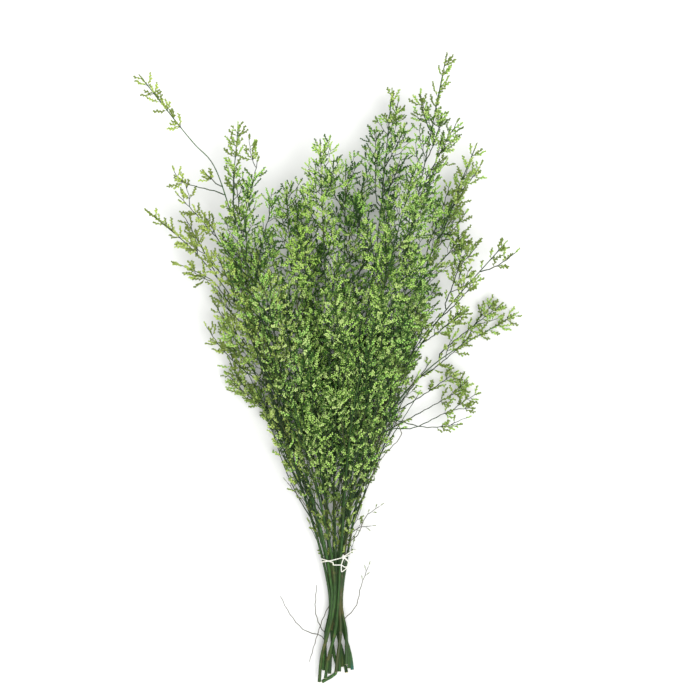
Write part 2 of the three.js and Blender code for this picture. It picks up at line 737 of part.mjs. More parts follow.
function stringEnd(points) {
  const line = through(points.map((p) => vector(p).add(knotMiddle)));
  const places = series(0, line.length, line.length / 6);
  const body = new Body();
  const rings = ringsAlong(line, places, () => STRING_RADIUS, ALONG, false);
  const corners = rings.map((ring) => cornersOf(body, ring, STRING_SIDES));
  body.flatEnd(corners[0], true);
  corners.slice(1).forEach((high, i) => body.sleeve(corners[i], high));
  body.flatEnd(corners[corners.length - 1], false);
  return asSolid(body.geometry());
}

function stringGeometry() {
  const pieces = [...STRING_TURNS.map(stringTurn), knotCore(), knotLoop(), ...STRING_ENDS.map(stringEnd)];
  const joined = pieces.reduce((whole, piece) => whole.add(piece)).getMesh();
  const made = new THREE.BufferGeometry();
  made.setAttribute('position', new THREE.BufferAttribute(joined.vertProperties, 3));
  made.setIndex(new THREE.BufferAttribute(joined.triVerts, 1));
  return made;
}

function namedMesh(name, geometry, color, roughness) {
  const material = new THREE.MeshStandardMaterial({ color, roughness, metalness: 0 });
  const mesh = new THREE.Mesh(geometry, material);
  mesh.name = name;
  return mesh;
}

const bunch = new THREE.Group();
for (const { name, body, green } of stems) {
  bunch.add(namedMesh(name, body.geometry(), GREENS[green], STEM_ROUGHNESS));
}
bunch.add(namedMesh('tie_string', stringGeometry(), STRING_COLOUR, STRING_ROUGHNESS));

export default bunch;
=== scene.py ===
"""The looks of a tied bunch of dried sea lavender that lies on a pale surface.

The stems' ways and the rules by which they branch are those of the part's source, in millimetres, so
that each fine stem, branch and flower spike stands on its own solid. Meshes are written in metres.
"""

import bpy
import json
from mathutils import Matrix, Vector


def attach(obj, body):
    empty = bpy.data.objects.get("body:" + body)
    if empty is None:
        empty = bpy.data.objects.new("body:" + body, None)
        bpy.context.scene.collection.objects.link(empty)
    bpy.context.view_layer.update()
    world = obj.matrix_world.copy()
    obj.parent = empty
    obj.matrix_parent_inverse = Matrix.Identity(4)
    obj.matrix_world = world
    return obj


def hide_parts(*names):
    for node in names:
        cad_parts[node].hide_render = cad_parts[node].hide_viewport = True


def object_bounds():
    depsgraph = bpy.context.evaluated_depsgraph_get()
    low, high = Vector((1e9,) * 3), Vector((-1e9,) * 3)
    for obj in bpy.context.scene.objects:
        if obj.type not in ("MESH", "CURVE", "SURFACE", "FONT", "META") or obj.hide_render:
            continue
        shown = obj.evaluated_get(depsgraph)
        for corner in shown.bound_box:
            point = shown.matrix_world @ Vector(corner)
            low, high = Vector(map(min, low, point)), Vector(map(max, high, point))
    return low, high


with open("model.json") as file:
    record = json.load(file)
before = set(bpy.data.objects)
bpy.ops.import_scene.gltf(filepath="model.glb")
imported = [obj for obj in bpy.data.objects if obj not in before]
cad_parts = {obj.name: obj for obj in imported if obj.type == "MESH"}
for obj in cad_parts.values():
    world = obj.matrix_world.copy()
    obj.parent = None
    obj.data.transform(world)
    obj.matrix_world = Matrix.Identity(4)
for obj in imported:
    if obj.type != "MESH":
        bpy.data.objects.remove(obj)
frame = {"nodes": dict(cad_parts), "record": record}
CAD_BOX = [list(corner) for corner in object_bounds()]

import json
import math
from dataclasses import dataclass, field
from collections import Counter
from functools import lru_cache

import bpy
import mathutils
import numpy as np
from bpy.props import FloatProperty, FloatVectorProperty, IntProperty, PointerProperty

bl_info = {
    "name": "Dried sea lavender bunch",
    "version": (1, 0, 0),
    "blender": (4, 5, 0),
    "location": "View3D > Sidebar > Bunch",
    "description": "Grows the fine twigs and flowers of a tied bunch of dried sea lavender",
    "category": "Add Mesh",
}

MM = 0.001

# The stems as in the part's source, in millimetres and degrees
STEM_RADIUS = 1.5
STEM_TOP_RADIUS = 0.9
STEM_SIDES = 6
STEM_STEP = 42
FOOT_LENGTH = 18
STEM_PITCH = 3.65
TOP_FLOWERING = 62
TWIG_SIDES = 3
BRANCH_RADIUS = 0.85
TWIG_RADIUS = 0.75
BARE_TWIG_RADIUS = 0.6
BARE_STEP = 22
BARE_TWIG_STEP = 9
BARE_END = 5
LEAST_ROOT = 7
BRANCH_PITCH = 29
BRANCH_LENGTH = (84, 36)
BRANCH_BARE = 0.38
BRANCH_LEAVES_AT = 44
BRANCH_ENDS_AT = 27
GOLDEN_ANGLE = 137.5
TWIG_LENGTH = 27
TWIG_BARE = 0.25
LONG_BRANCH = 52
TWIG_EVERY = 4
CLUSTER_PITCH = 10
CLUSTER_LENGTH = 2.8
SPIKE_LENGTH = (7, 13)
SPIKE_TURN = 26
SPIKE_LEAN = (56, 34)
SPIKE_SHARE = 0.56
END_SPIKE = 8
SPIKE_TURN_SPREAD = (-8, 8)
SPIKE_LEAN_SPREAD = (-5, 5)
MOST_TRIES = 9
TRY_TURN = 70
TRY_TURN_SPREAD = (-15, 15)
TRY_SHORTER = 0.94
SIDE_SPREAD = (-22, 22)
LEAVES_SPREAD = (-6, 6)
ENDS_SPREAD = (-7, 7)
LENGTH_SPREAD = (0.85, 1.15)
SHIFT = 1.4
LEAVING = 3
BRANCH_SEED = 100
TWIG_SEED = 1000
SPIKE_SEED = 5000

# The bundle below the heads, in rows from its feet up: its Y, the X and Z of its middle, how wide and how
# high its pattern of stems is, and how far it is turned, in degrees
HANDLE = np.array([
    (-300, 7, 9.8, 2.65, 1.65, 58), (-272, 6.5, 10.4, 2.5, 1.6, 40), (-250, 6.5, 12, 1.9, 1.4, 20),
    (-225, 6.5, 13.5, 1, 1, 0), (-183, 5.5, 17, 2, 1.35, -8),
])
HANDLE_RINGS = [-250, -225, -204, -183, -150, -110, -70]


@dataclass
class Stem:
    """A main stem, with its slot in the bundle, its cut, and the Y where its flowers begin and end.

    It has its way to the tip, its sprays as (from, bare share, way), its bare twigs as (from, way), and
    the end of its foot where that is broken.
    """

    slot: tuple
    cut: float
    flowers: tuple
    route: list
    sprays: list = ()
    bare: list = ()
    broken: list = ()
    name: str = ""


STEMS = [
    Stem(
        (-1, 1), -287, (-20, 118),
        [(-44, -20, 56), (-92, 150, 84), (-110, 198, 86), (-127, 216, 86), (-178, 280, 84)],
        [
            (92, 0.35, [(-108, 130, 76), (-144, 170, 78)]), (168, 0.7, [(-141, 182, 82), (-147, 194, 82)]),
            (176, 0.5, [(-118, 190, 90)]),
        ],
    ),
    Stem(
        (-0.5, 2), -298, (-30, 190), [(-36, -20, 70), (-88, 145, 98), (-85, 234, 100)],
        [(78, 0.25, [(-62, 126, 88), (-50, 166, 88)]), (120, 0.3, [(-74, 165, 98), (-66, 202, 96)])],
        [(-258, [(-24, -248, 14), (-38, -232, 16), (-47, -215, 18)])],
    ),
    Stem(
        (-1.5, 0), -286, (-40, 120), [(-44, -55, 38), (-80, 50, 52), (-125, 112, 56), (-174, 155, 58)],
        [(62, 0.35, [(-112, 88, 46), (-147, 105, 42)])], [(-250, [(-13, -230, 22), (-12, -204, 24)])],
    ),
    Stem(
        (-1, -1), -289, (-70, 70), [(-28, -90, 17), (-56, -5, 25), (-78, 60, 26), (-88, 124, 27)],
        [
            (-20, 0.4, [(-84, 16, 20), (-106, 47, 18)]), (-48, 0.4, [(-76, -24, 18), (-100, 0, 14)]),
            (-75, 0.5, [(-58, -44, 12), (-80, -14, 10)]), (-98, 0.5, [(-42, -68, 12), (-56, -42, 10)]),
        ],
        broken=[(-7, -299, 1.4)],
    ),
    Stem(
        (-0.5, 0), -248, (-105, 150), [(-14, -30, 44), (-34, 90, 60), (-41, 180, 62)],
        [(38, 0.2, [(-50, 92, 66), (-60, 134, 70)])], [(-150, [(-28, -120, 36), (-40, -105, 40)])],
    ),
    Stem((0, 1), -290, (-120, 170), [(2, -30, 64), (-4, 100, 90), (-8, 218, 94)]),
    Stem(
        (0, -1), -284, (-105, 165), [(6, -30, 27), (14, 100, 33), (16, 203, 33)],
        [(118, 0.3, [(26, 150, 30), (35, 191, 28)])],
    ),
    Stem(
        (0.5, 0), -288, (-90, 225), [(22, -30, 44), (44, 110, 60), (60, 268, 66)],
        [(158, 0.3, [(44, 200, 62), (45, 232, 60)])],
    ),
    Stem(
        (1, 1), -288, (-25, 255), [(36, -30, 66), (76, 130, 90), (111, 300, 94)],
        [(172, 0.3, [(104, 205, 92), (122, 238, 96)])],
    ),
    Stem(
        (1, -1), -285, (-45, 180), [(40, -30, 30), (88, 90, 37), (141, 218, 40)],
        [(128, 0.3, [(122, 170, 44), (134, 198, 46)]), (110, 0.3, [(106, 150, 36), (116, 181, 34)])],
    ),
    Stem(
        (1.5, 0), -281, (-20, 100), [(46, -50, 42), (98, 42, 60), (168, 124, 68)],
        [
            (60, 0.12, [(117, 82, 71), (124, 106, 75), (126, 125, 76)]),
            (-62, 0.72, [(60, -54, 42), (80, -53, 40), (118, -36, 38), (138, -34, 40)]),
            (-44, 0.75, [(92, -52, 48), (126, -49, 46)]),
        ],
        [(-70, [(61, -46, 52), (69, -58, 54), (52, -79, 52), (40, -99, 50)])],
    ),
    Stem(
        (0.5, -2), -287, (-50, 40), [(34, -80, 10), (92, 0, 12), (181, 57, 16)],
        [
            (12, 0.5, [(135, 42, 20), (166, 66, 24)]), (-42, 0.6, [(90, -22, 14), (122, 0, 12)]),
            (-60, 0.7, [(96, -34, 16), (133, -13, 20)]),
        ],
        [(-165, [(28, -150, 8), (40, -148, 10)])],
    ),
    Stem(
        (0.5, 2), -294, (-25, 150), [(24, -30, 80), (54, 90, 108), (80, 192, 112)],
        bare=[(-168, [(27, -156, 30), (35, -138, 34), (48, -128, 38)])],
    ),
    Stem((-0.5, -2), -290, (-95, 120), [(-8, -60, 8), (-20, 60, 12), (-28, 164, 14)]),
]
for count, stem in enumerate(STEMS, 1):
    stem.name = f"stem_{count:02}"

# The string: each turn's Y and slant, the angle of its knot, the ways of its loose ends from the knot, and
# its drooping loop as (angle round the bunch, Y)
STRING_TURNS = [(-179, 3), (-183, -4)]
KNOT_TURN = 38
STRING_ENDS = [
    [(0, 0, 0), (4, -4, 1), (9, -8, 1), (11, -14, -3)],
    [(0, 0, 0), (4, 3, 1), (9, 6, 2), (15, 7, -1)],
]
STRING_LOOP = [(26, -182), (20, -187), (32, -191), (50, -189), (56, -184)]
THREAD_RADIUS = 0.6
THREAD_STEP = 0.4
THREAD_TWIST = 2.6
PLIES = 3
PLY_SIDES = 7
TURN_POINTS = 120
KNOT_POINTS = 90
KNOT_SIZE = 0.62
KNOT_OUT = 1.6

# The stage, in metres and degrees
FLOOR_HALF = 3.0
LIGHT_AT = (0.28, -0.3, 2.2)
LIGHT_STRENGTH = 3.3
LIGHT_WIDTH = 34
WORLD_COLOUR = (0.97, 0.98, 1.0, 1)
WORLD_STRENGTH = 0.84
CAMERA_AT = (0.020, 0.0215, 3.4)
CAMERA_LENS = 181

LINE_SAMPLES = 160
BEND_SAMPLES = 24
WAY_REACH = 1.5
TIP_REACH = 0.05
ACROSS, ALONG, UP = np.eye(3)


def draws(seed):
    """A seeded draw of numbers from 0 to 1, the same as in the part's source."""
    state = (seed * 2654435761) & 0xFFFFFFFF

    def draw():
        nonlocal state
        state = (state * 1664525 + 1013904223) & 0xFFFFFFFF
        return state / 4294967296

    return draw


def lerp(a, b, share):
    return a + (b - a) * share


def unit(v):
    return v / math.sqrt(v @ v)


def cross(a, b):
    return np.array([
        a[1] * b[2] - a[2] * b[1],
        a[2] * b[0] - a[0] * b[2],
        a[0] * b[1] - a[1] * b[0],
    ])


def leaning(way, side, angle):
    """A direction that leans from a way to one side."""
    return way * math.cos(angle) + side * math.sin(angle)


def series(first, last, step):
    """Numbers from first to last, a step apart."""
    found = []
    s = first
    while s <= last:
        found.append(s)
        s += step
    return found


class Line:
    """A smooth line, read by the length along it."""

    def __init__(self, points):
        self.points = np.array(points, float)
        steps = np.sqrt((np.diff(self.points, axis=0) ** 2).sum(1))
        self.lengths = np.concatenate([[0.0], np.cumsum(steps)])
        self.length = float(self.lengths[-1])

    def at(self, s):
        i = int(np.searchsorted(self.lengths, s))
        i = min(max(i, 1), len(self.lengths) - 1)
        share = (s - self.lengths[i - 1]) / (self.lengths[i] - self.lengths[i - 1])
        return lerp(self.points[i - 1], self.points[i], share)

    def way_at(self, s):
        low, high = max(s - WAY_REACH, 0), min(s + WAY_REACH, self.length)
        return unit(self.at(high) - self.at(low))

    def where_y(self, y):
        i = max(int(np.argmax(self.points[:, 1] >= y)), 1)
        low, high = self.points[i - 1][1], self.points[i][1]
        return lerp(self.lengths[i - 1], self.lengths[i], (y - low) / (high - low))


def through(points):
    """A smooth line through points that lie unevenly far apart."""
    points = [np.array(p, float) for p in points]
    points = [2 * points[0] - points[1], *points, 2 * points[-1] - points[-2]]
    spans = len(points) - 3
    found = []
    for d in range(LINE_SAMPLES + 1):
        place = spans * d / LINE_SAMPLES
        i = min(int(place), spans - 1)
        t = place - i
        a, b, c, e = points[i : i + 4]
        t0, t1, t2 = (math.sqrt(math.sqrt((q - p) @ (q - p))) for p, q in ((a, b), (b, c), (c, e)))
        start = ((b - a) / t0 - (c - a) / (t0 + t1) + (c - b) / t1) * t1
        end = ((c - b) / t1 - (e - b) / (t1 + t2) + (e - c) / t2) * t1
        square = -3 * b + 3 * c - 2 * start - end
        cube = 2 * b - 2 * c + start + end
        found.append(b + start * t + square * t * t + cube * t * t * t)
    return Line(found)


def bend(start, middle, end):
    """A single bend from start to end, drawn towards middle."""
    t = np.linspace(0, 1, BEND_SAMPLES + 1)[:, None]
    return Line((1 - t) ** 2 * start + 2 * (1 - t) * t * middle + t * t * end)


@dataclass
class Ring:
    p: np.ndarray
    way: np.ndarray
    u: np.ndarray
    v: np.ndarray
    r: float

    def outward(self, angle):
        return self.u * math.cos(angle) + self.v * math.sin(angle)


@dataclass
class Cluster:
    s: float
    ring: Ring
    sides: int
    taken: list = field(default_factory=list)


@dataclass
class Limb:
    stem: Stem
    kind: str
    line: Line
    clusters: list
    root: np.ndarray = None
    brown: float = 0.0
    tone: float = 0.0
    by_rule: list = field(default_factory=list)


def rings_along(line, places, radius_at, across, is_main):
    middles = []
    for s in places:
        p = line.at(s)
        p[2] = max(p[2], radius_at(s) * math.cos(math.pi / STEM_SIDES))
        middles.append(p)
    side = across
    rings = []
    for i, p in enumerate(middles):
        before = middles[i - 1] if i else (p if len(middles) > 1 else line.at(0))
        after = middles[i + 1] if i + 1 < len(middles) else p
        way = unit(after - before)
        u = unit(side - way * (side @ way))
        rings.append(Ring(p, way, u, cross(way, u), radius_at(places[i])))
        if not is_main:
            side = u
    return rings


def places_of(fixed, clusters, step):
    half = CLUSTER_LENGTH / 2
    single = [s for s in fixed if all(abs(s - c) > CLUSTER_LENGTH for c in clusters)]
    rings = sorted(single + [c - half for c in clusters] + [c + half for c in clusters])
    places = []
    before = 0
    for s in rings:
        parts = max(1, math.floor((s - before) / step + 0.5))
        places += [lerp(before, s, (k + 1) / parts) for k in range(parts)]
        before = s
    paired = [next(i for i, s in enumerate(places) if s > c) - 1 for c in clusters]
    return places, paired


def plan_limb(stem, kind, line, fixed, clusters, step, radius_at, across, slim_from=0):
    is_main = kind == "stem"
    places, paired = places_of(fixed, clusters, step)
    rings = rings_along(line, places, radius_at, across, is_main)
    made = []
    for s, i in zip(clusters, paired):
        low, high = rings[i], rings[i + 1]
        middle = Ring((low.p + high.p) / 2, low.way, low.u, low.v, low.r)
        made.append(Cluster(s, middle, STEM_SIDES if is_main and s < slim_from else TWIG_SIDES))
    return Limb(stem, kind, line, made)


def handle_row(y):
    after = max(int(np.argmax(HANDLE[:, 0] >= y)), 1)
    low, high = HANDLE[after - 1], HANDLE[after]
    return lerp(low, high, (y - low[0]) / (high[0] - low[0]))


def handle_point(slot, row):
    """Where a slot of the bundle is, at a row of it."""
    y, x, z, wide, high, turn = row
    turn = math.radians(turn)
    u = slot[0] * STEM_PITCH
    v = slot[1] * STEM_PITCH * math.sin(math.pi / 3)
    across = u * math.cos(turn) - v * math.sin(turn)
    up = u * math.sin(turn) + v * math.cos(turn)
    return (x + wide * across, y, z + high * up)


def grow_stem(stem):
    rows = [handle_row(stem.cut), *HANDLE[HANDLE[:, 0] > stem.cut + FOOT_LENGTH / 2]]
    line = through([*stem.broken, *(handle_point(stem.slot, row) for row in rows), *stem.route])
    by_hand = [line.where_y(grown[0]) for grown in (*stem.sprays, *stem.bare)]
    first, last = (line.where_y(y) for y in stem.flowers)
    by_rule = series(first, last, BRANCH_PITCH)
    clusters = []
    for s in by_hand + by_rule + series(line.length - TOP_FLOWERING, line.length - END_SPIKE, CLUSTER_PITCH):
        if all(abs(s - c) > 2 * CLUSTER_LENGTH for c in clusters):
            clusters.append(s)
    clusters.sort()
    rings = [line.where_y(y) for y in HANDLE_RINGS]
    fixed = [0, FOOT_LENGTH] + [s for s in rings if 1.5 * FOOT_LENGTH < s < by_rule[0]]
    slim_from = next(s for s in by_rule if s in clusters)
    limb = plan_limb(
        stem, "stem", line, fixed, clusters, STEM_STEP,
        lambda s: lerp(STEM_RADIUS, STEM_TOP_RADIUS, s / line.length), ACROSS, slim_from,
    )
    limb.by_rule = by_rule
    return limb


@lru_cache(None)
def solid_points(name):
    """The corners of a stem's solid, in millimetres."""
    mesh = frame["nodes"][name].data
    found = np.zeros(len(mesh.vertices) * 3, np.float32)
    mesh.vertices.foreach_get("co", found)
    return np.unique(found.reshape(-1, 3).astype(float).round(6), axis=0) / MM


def is_solid(stem, tip):
    """True if the stem's solid has a corner at a tip, so that what ends there did find room to grow."""
    corners = solid_points(stem.name)
    near = corners[np.abs(corners[:, 1] - tip[1]) < TIP_REACH]
    return bool(len(near)) and float(np.abs(near - tip).max(1).min()) < TIP_REACH


def side_toward(cluster, wanted):
    free = [k for k in range(cluster.sides) if k not in cluster.taken]
    if not free:
        return None
    return max(free, key=lambda k: cluster.ring.outward(side_angle(k, cluster.sides)) @ wanted)


def side_angle(k, sides):
    return (k + 0.5) * 2 * math.pi / sides


def grow_from(parent, cluster, side, line, kind, bare, radius, step):
    """A limb on one side of a cluster, in a list that is empty if the solid has no such limb."""
    tip = line.at(line.length)
    tip[2] = max(tip[2], 0)
    if not is_solid(parent.stem, tip):
        return []
    cluster.taken.append(side)
    first = max(bare * line.length, LEAST_ROOT)
    clusters = [] if bare == 1 else series(first, line.length - END_SPIKE, CLUSTER_PITCH)
    fixed = [line.length - BARE_END] if bare == 1 else []
    limb = plan_limb(
        parent.stem, kind, line, fixed, clusters, step, lambda s: radius, cluster.ring.way
    )
    limb.root = cluster.ring.p
    return [limb]


def grow_by_rule(parent, cluster, length, turn_from, draw, kind, bare, radius):
    way = cluster.ring.way
    for attempt in range(MOST_TRIES):
        turned = turn_from + math.radians(attempt * TRY_TURN + lerp(*TRY_TURN_SPREAD, draw()))
        side = side_toward(cluster, cluster.ring.outward(turned))
        if side is None:
            break
        turn = side_angle(side, cluster.sides) + math.radians(lerp(*SIDE_SPREAD, draw()))
        away = cluster.ring.outward(turn)
        leaves = math.radians(BRANCH_LEAVES_AT + lerp(*LEAVES_SPREAD, draw()))
        ends = math.radians(BRANCH_ENDS_AT + lerp(*ENDS_SPREAD, draw()))
        reach = length * lerp(*LENGTH_SPREAD, draw()) * TRY_SHORTER**attempt
        start = cluster.ring.p + away * cluster.ring.r
        middle = start + leaning(way, away, leaves) * reach / 2
        tip = start + leaning(way, away, ends) * reach
        middle[2] = max(middle[2], radius)
        tip[2] = max(tip[2], radius)
        line = bend(start, middle, tip)
        grown = grow_from(parent, cluster, side, line, kind, bare, radius, BARE_STEP)
        if grown:
            return grown
    return []


def grow_by_hand(parent, y, way, kind, bare, radius, step):
    cluster = cluster_at(parent, parent.line.where_y(y))
    way = [np.array(p, float) for p in way]
    side = side_toward(cluster, way[0] - cluster.ring.p)
    away = cluster.ring.outward(side_angle(side, cluster.sides))
    start = cluster.ring.p + away * cluster.ring.r
    leaving = start + away * LEAVING + cluster.ring.way * LEAVING
    for attempt in range(3 * MOST_TRIES):
        shift = (-1 if attempt % 2 else 1) * math.ceil(attempt / 2) * SHIFT
        rest = [np.array([x, y, max(z + shift, radius)]) for x, y, z in way]
        line = through([start, leaving, *rest])
        grown = grow_from(parent, cluster, side, line, kind, bare, radius, step)
        if grown:
            return grown
    return []


def solid_spikes(limb, clusters, draw):
    """The spikes that the solid has on some clusters, as (stem, root, start, tip, way of the limb)."""
    found = []
    for cluster in clusters:
        ring = cluster.ring
        for side in range(cluster.sides):
            for upper in (0, 1):
                if draw() >= SPIKE_SHARE or (upper and side in cluster.taken):
                    continue
                turn = (SPIKE_TURN if upper else -SPIKE_TURN) + lerp(*SPIKE_TURN_SPREAD, draw())
                lean = math.radians(SPIKE_LEAN[upper] + lerp(*SPIKE_LEAN_SPREAD, draw()))
                length = lerp(*SPIKE_LENGTH, draw())
                away = ring.outward(side_angle(side, cluster.sides) + math.radians(turn))
                start = ring.p + away * ring.r / 2
                tip = start + ring.way * length * math.cos(lean) + away * length * math.sin(lean)
                tip[2] = max(tip[2], 0)
                if is_solid(limb.stem, tip):
                    found.append((limb.stem, ring.p, start, tip, ring.way))
    return found


def cluster_at(limb, s):
    return next((c for c in limb.clusters if c.s == s), None)


@lru_cache(None)
def grown_bunch():
    """Every limb and spike of the solids, grown again by the same rules."""
    stems = [grow_stem(stem) for stem in STEMS]
    flowering, bare_twigs, spikes = [], [], []
    for limb in stems:
        for y, bare, way in limb.stem.sprays:
            flowering += grow_by_hand(limb, y, way, "branch", bare, BRANCH_RADIUS, BARE_STEP)
        for y, way in limb.stem.bare:
            bare_twigs += grow_by_hand(limb, y, way, "bare", 1, BARE_TWIG_RADIUS, BARE_TWIG_STEP)
    for n, limb in enumerate(stems):
        draw = draws(BRANCH_SEED + n)
        for k, s in enumerate(limb.by_rule):
            cluster = cluster_at(limb, s)
            if not cluster:
                continue
            length = lerp(*BRANCH_LENGTH, k / len(limb.by_rule))
            turn = math.radians(k * GOLDEN_ANGLE)
            flowering += grow_by_rule(
                limb, cluster, length, turn, draw, "branch", BRANCH_BARE, BRANCH_RADIUS
            )
    for n, limb in enumerate(list(flowering)):
        if limb.line.length < LONG_BRANCH:
            continue
        draw = draws(TWIG_SEED + n)
        for k, cluster in enumerate(limb.clusters[1::TWIG_EVERY]):
            flowering += grow_by_rule(
                limb, cluster, TWIG_LENGTH, math.radians(k * 90), draw, "twig", TWIG_BARE, TWIG_RADIUS
            )
    parts = [(limb, limb.clusters) for limb in flowering]
    for limb in stems:
        top = limb.line.length - TOP_FLOWERING
        parts.append((limb, [c for c in limb.clusters if c.s >= top]))
    for n, (limb, clusters) in enumerate(parts):
        spikes += solid_spikes(limb, clusters, draws(SPIKE_SEED + n))
    return stems, flowering, bare_twigs, spikes


# The fine growth, which only the looks have. Radii run from a limb's foot to its tip, and a spread says how
# far a value may be from its usual one
FINE_SEED = 700
STEM_FINE = (1.6, 0.42)
STEM_TAPER = 1.7
STEM_SPREAD = (0.96, 1.04)
LIMB_SPREAD = (0.92, 1.08)
LIMB_FINE = {"branch": (0.62, 0.32), "twig": (0.44, 0.24), "bare": (0.5, 0.3), "fine": (0.36, 0.2)}
STALK_FINE = (0.26, 0.17)
# Where a flower stalk bows, as a share of its length, and how much
STALK_MIDDLE = 0.45
STALK_BOW = 0.12
STEM_RINGS = 5.0
CUT_EDGE = 0.25
# How a main stem swells where it branches and at its scars, and the rings that it needs there
SWELL = 0.22
SWELL_LENGTH = 1.4
SWELL_RINGS = (-2.2, 0, 2.2)
SCARS = 12
SCAR_PITCH = (16, 38)
SCAR_SWELL = 0.16
SCAR_LENGTH = 0.5
SCAR_BROWN = 0.35
BROWN_LENGTH = 1.2
SCAR_RINGS = (-1.6, 0, 1.0)
# How much of its brown a stem has, at some heights along it
BROWN_ALONG = ((-230, 1), (-130, 0.4))
# The joints of a limb, the spread of what stands on them, in radians, and the tones of twigs
NODE_PITCH = 4.6
ZIGZAG = 0.3
JOINT_TURN = 0.4
TURN_SPREAD = (-0.4, 0.4)
ROLL_SPREAD = (-0.9, 0.9)
TWIG_TONES = (0.2, 0.8)
FINE_TWIG_PITCH = {"stem": 6.0, "branch": 9}
FINE_TWIG_LENGTH = {"stem": (42, 20), "branch": (22, 12)}
FINE_ANGLES = ((42, 60), (20, 44))
FINE_SPIKE_LENGTH = (6, 10)
FINE_SPIKE_LEAN = (34, 58)
PITCH_SPREAD = (0.7, 1.3)
FINE_LENGTH_SPREAD = (0.75, 1.2)
# The chance that a joint has a spike, in thin growth, and what the dense part adds to it
SPIKE_CHANCE = 0.33
DENSE_CHANCE = 0.65
# How near to a spike of the solid no other one grows
SPIKE_GAP = 2
# The long thin branches and the small sprigs among the bare stems, from a Y upwards
LOW_TWIG_PITCH = 15
LOW_FROM = -150
LOW_TWIG_LENGTH = (95, 150)
LOW_TWIG_ANGLES = ((16, 28), (5, 14))
LOW_SPRIG_PITCH = 15
LOW_SPRIG_FROM = -180
LOW_SPRIG_LENGTH = (12, 28)
LOW_SPRIG_ANGLES = ((16, 30), (8, 20))
SIDES_TRIED = 5
# Bare twigs that are too fine for the solid, by stem, as (from, way)
FINE_BARE_TWIGS = {
    "stem_11": [(-238, [(25.6, -225, 15), (30.4, -206, 16), (37.5, -187, 16)])],
    "stem_03": [(-222, [(-6, -237, 12), (-13, -258, 10), (-19, -279, 8)])],
}
# Above this Y a bare twig ends in small dry ears: how they lean, how long they are, and their stalks' radii
DRY_EARS_FROM = -190
DRY_EAR_LEAN = (30, 50)
DRY_EAR_LENGTH = (3.5, 5.5)
DRY_STALK = (0.2, 0.18, 0.15)
# How brown some main stems are and the others may be, how far apart the stems' tones are, and whose feet
# are blue-green
BROWN_STEMS = {"stem_02": 0.12, "stem_05": 0.6, "stem_09": 0.55, "stem_11": 0.2}
OTHER_BROWNS = (-0.2, 0.7)
STEM_TONES = 0.37
DYED_FEET = ("stem_12",)
DYE_RISE = 5
# The size of the squares in which ears are counted, and how many one holds at most
CROWD_SQUARE = 9
CROWD_FULL = 18
FLORET_PITCH = 0.92
FLORETS_FROM = 0.15
FLORET_LEAN = 19
FLORET_LEAN_SPREAD = (-10, 10)
FLORET_SIZES = (0.85, 1.1)
FLORET_TONES = (-0.04, 0.32)
EAR_TONE = 0.8
# An ear's scale, and what the dense part takes from it
EAR_SCALE = 1.5
DENSE_SCALE = 0.38
# The size of an ear's florets, least at its ends: the least, what its middle adds, and the part of a half
# wave that it follows
EAR_LEAST = 0.72
EAR_MIDDLE = 0.34
EAR_WAVE = (0.15, 0.7)
# The length of a floret and its clearance above the floor, where it lies low
FLORET_LENGTH = 3
FLORET_CLEARANCE = 1
# What darkens an ear: lying deep in the bunch, which is painted shade of the growth above it and also less
# faded colour, thin growth, a low place, and being the end of an ear
DEEP_PAINTED_SHADE = 0.26
THIN_SHADE = 0.08
LOW_SHADE = ((-140, 0.2), (-70, 0))
END_SHADE = 0.25
# How much of a limb's end is an ear, and how far before its end its last spike is
END_EAR = 8
TIP_CLEAR = 3
# How high the bunch's upper side is above the floor, at some heights along it
UPPER_SIDE = ((-200, 28), (-50, 60), (100, 90))
OUTSIDE = 4
FLOOR_CLEARANCE = 1.2

# Where the bunch is dense: at some heights along it, how far the dense part goes to the left and right
DENSE_ROWS = [
    (-118, -14, 20), (-100, -24, 30), (-87, -30, 40), (-49, -44, 56), (-11, -54, 68), (27, -72, 80),
    (65, -86, 94), (103, -98, 104), (141, -98, 108), (179, -84, 106), (205, -34, 106), (238, 52, 104),
]
DENSE_EDGE = 19
# The waves of that edge, as (height, length)
DENSE_WAVES = ((10, 15), (6, 6.3))

TUBE_MARKS = ("thickness", "tone", "brown", "stalk", "cut", "dyed")
FLOWER_MARKS = ("aim", "size", "tone", "faded")


class Marked:
    """Points in millimetres, the edges between them, and the marks that each point carries."""

    def __init__(self, marks):
        self.points, self.edges = [], []
        self.marks = {mark: [] for mark in marks}

    def add(self, points, **given):
        """Adds points. One number stands for all of them, and a mark that isn't given is 0."""
        self.points += list(points)
        for mark, values in self.marks.items():
            value = given.get(mark, 0.0)
            values += list(value) if np.ndim(value) else [value] * len(points)

    def add_way(self, points, is_closed=False, **given):
        """Adds points with edges from each one to the next."""
        first, count = len(self.points), len(points)
        self.edges += [(first + i, first + i + 1) for i in range(count - 1)]
        if is_closed:
            self.edges.append((first + count - 1, first))
        self.add(points, **given)

    def mesh(self, name):
        """A mesh of the points and edges, with an attribute for each of the marks."""
        mesh = bpy.data.meshes.new(name)
        mesh.from_pydata((np.array(self.points) * MM).tolist(), self.edges, [])
        for mark, values in self.marks.items():
            values = np.array(values, np.float32)
            is_vector = values.ndim == 2
            made = mesh.attributes.new(mark, "FLOAT_VECTOR" if is_vector else "FLOAT", "POINT")
            made.data.foreach_set("vector" if is_vector else "value", values.ravel())
        return mesh


class Crowd:
    """How many ears stand over each square of the floor, so that twigs can grow where there are few."""

    def __init__(self):
        self.ears = Counter()

    def square(self, p):
        return int(p[0] // CROWD_SQUARE), int(p[1] // CROWD_SQUARE)

    def add(self, p):
        self.ears[self.square(p)] += 1

    def at(self, p):
        x, y = self.square(p)
        return sum(self.ears[x + i, y + j] for i in (-1, 0, 1) for j in (-1, 0, 1)) / 9


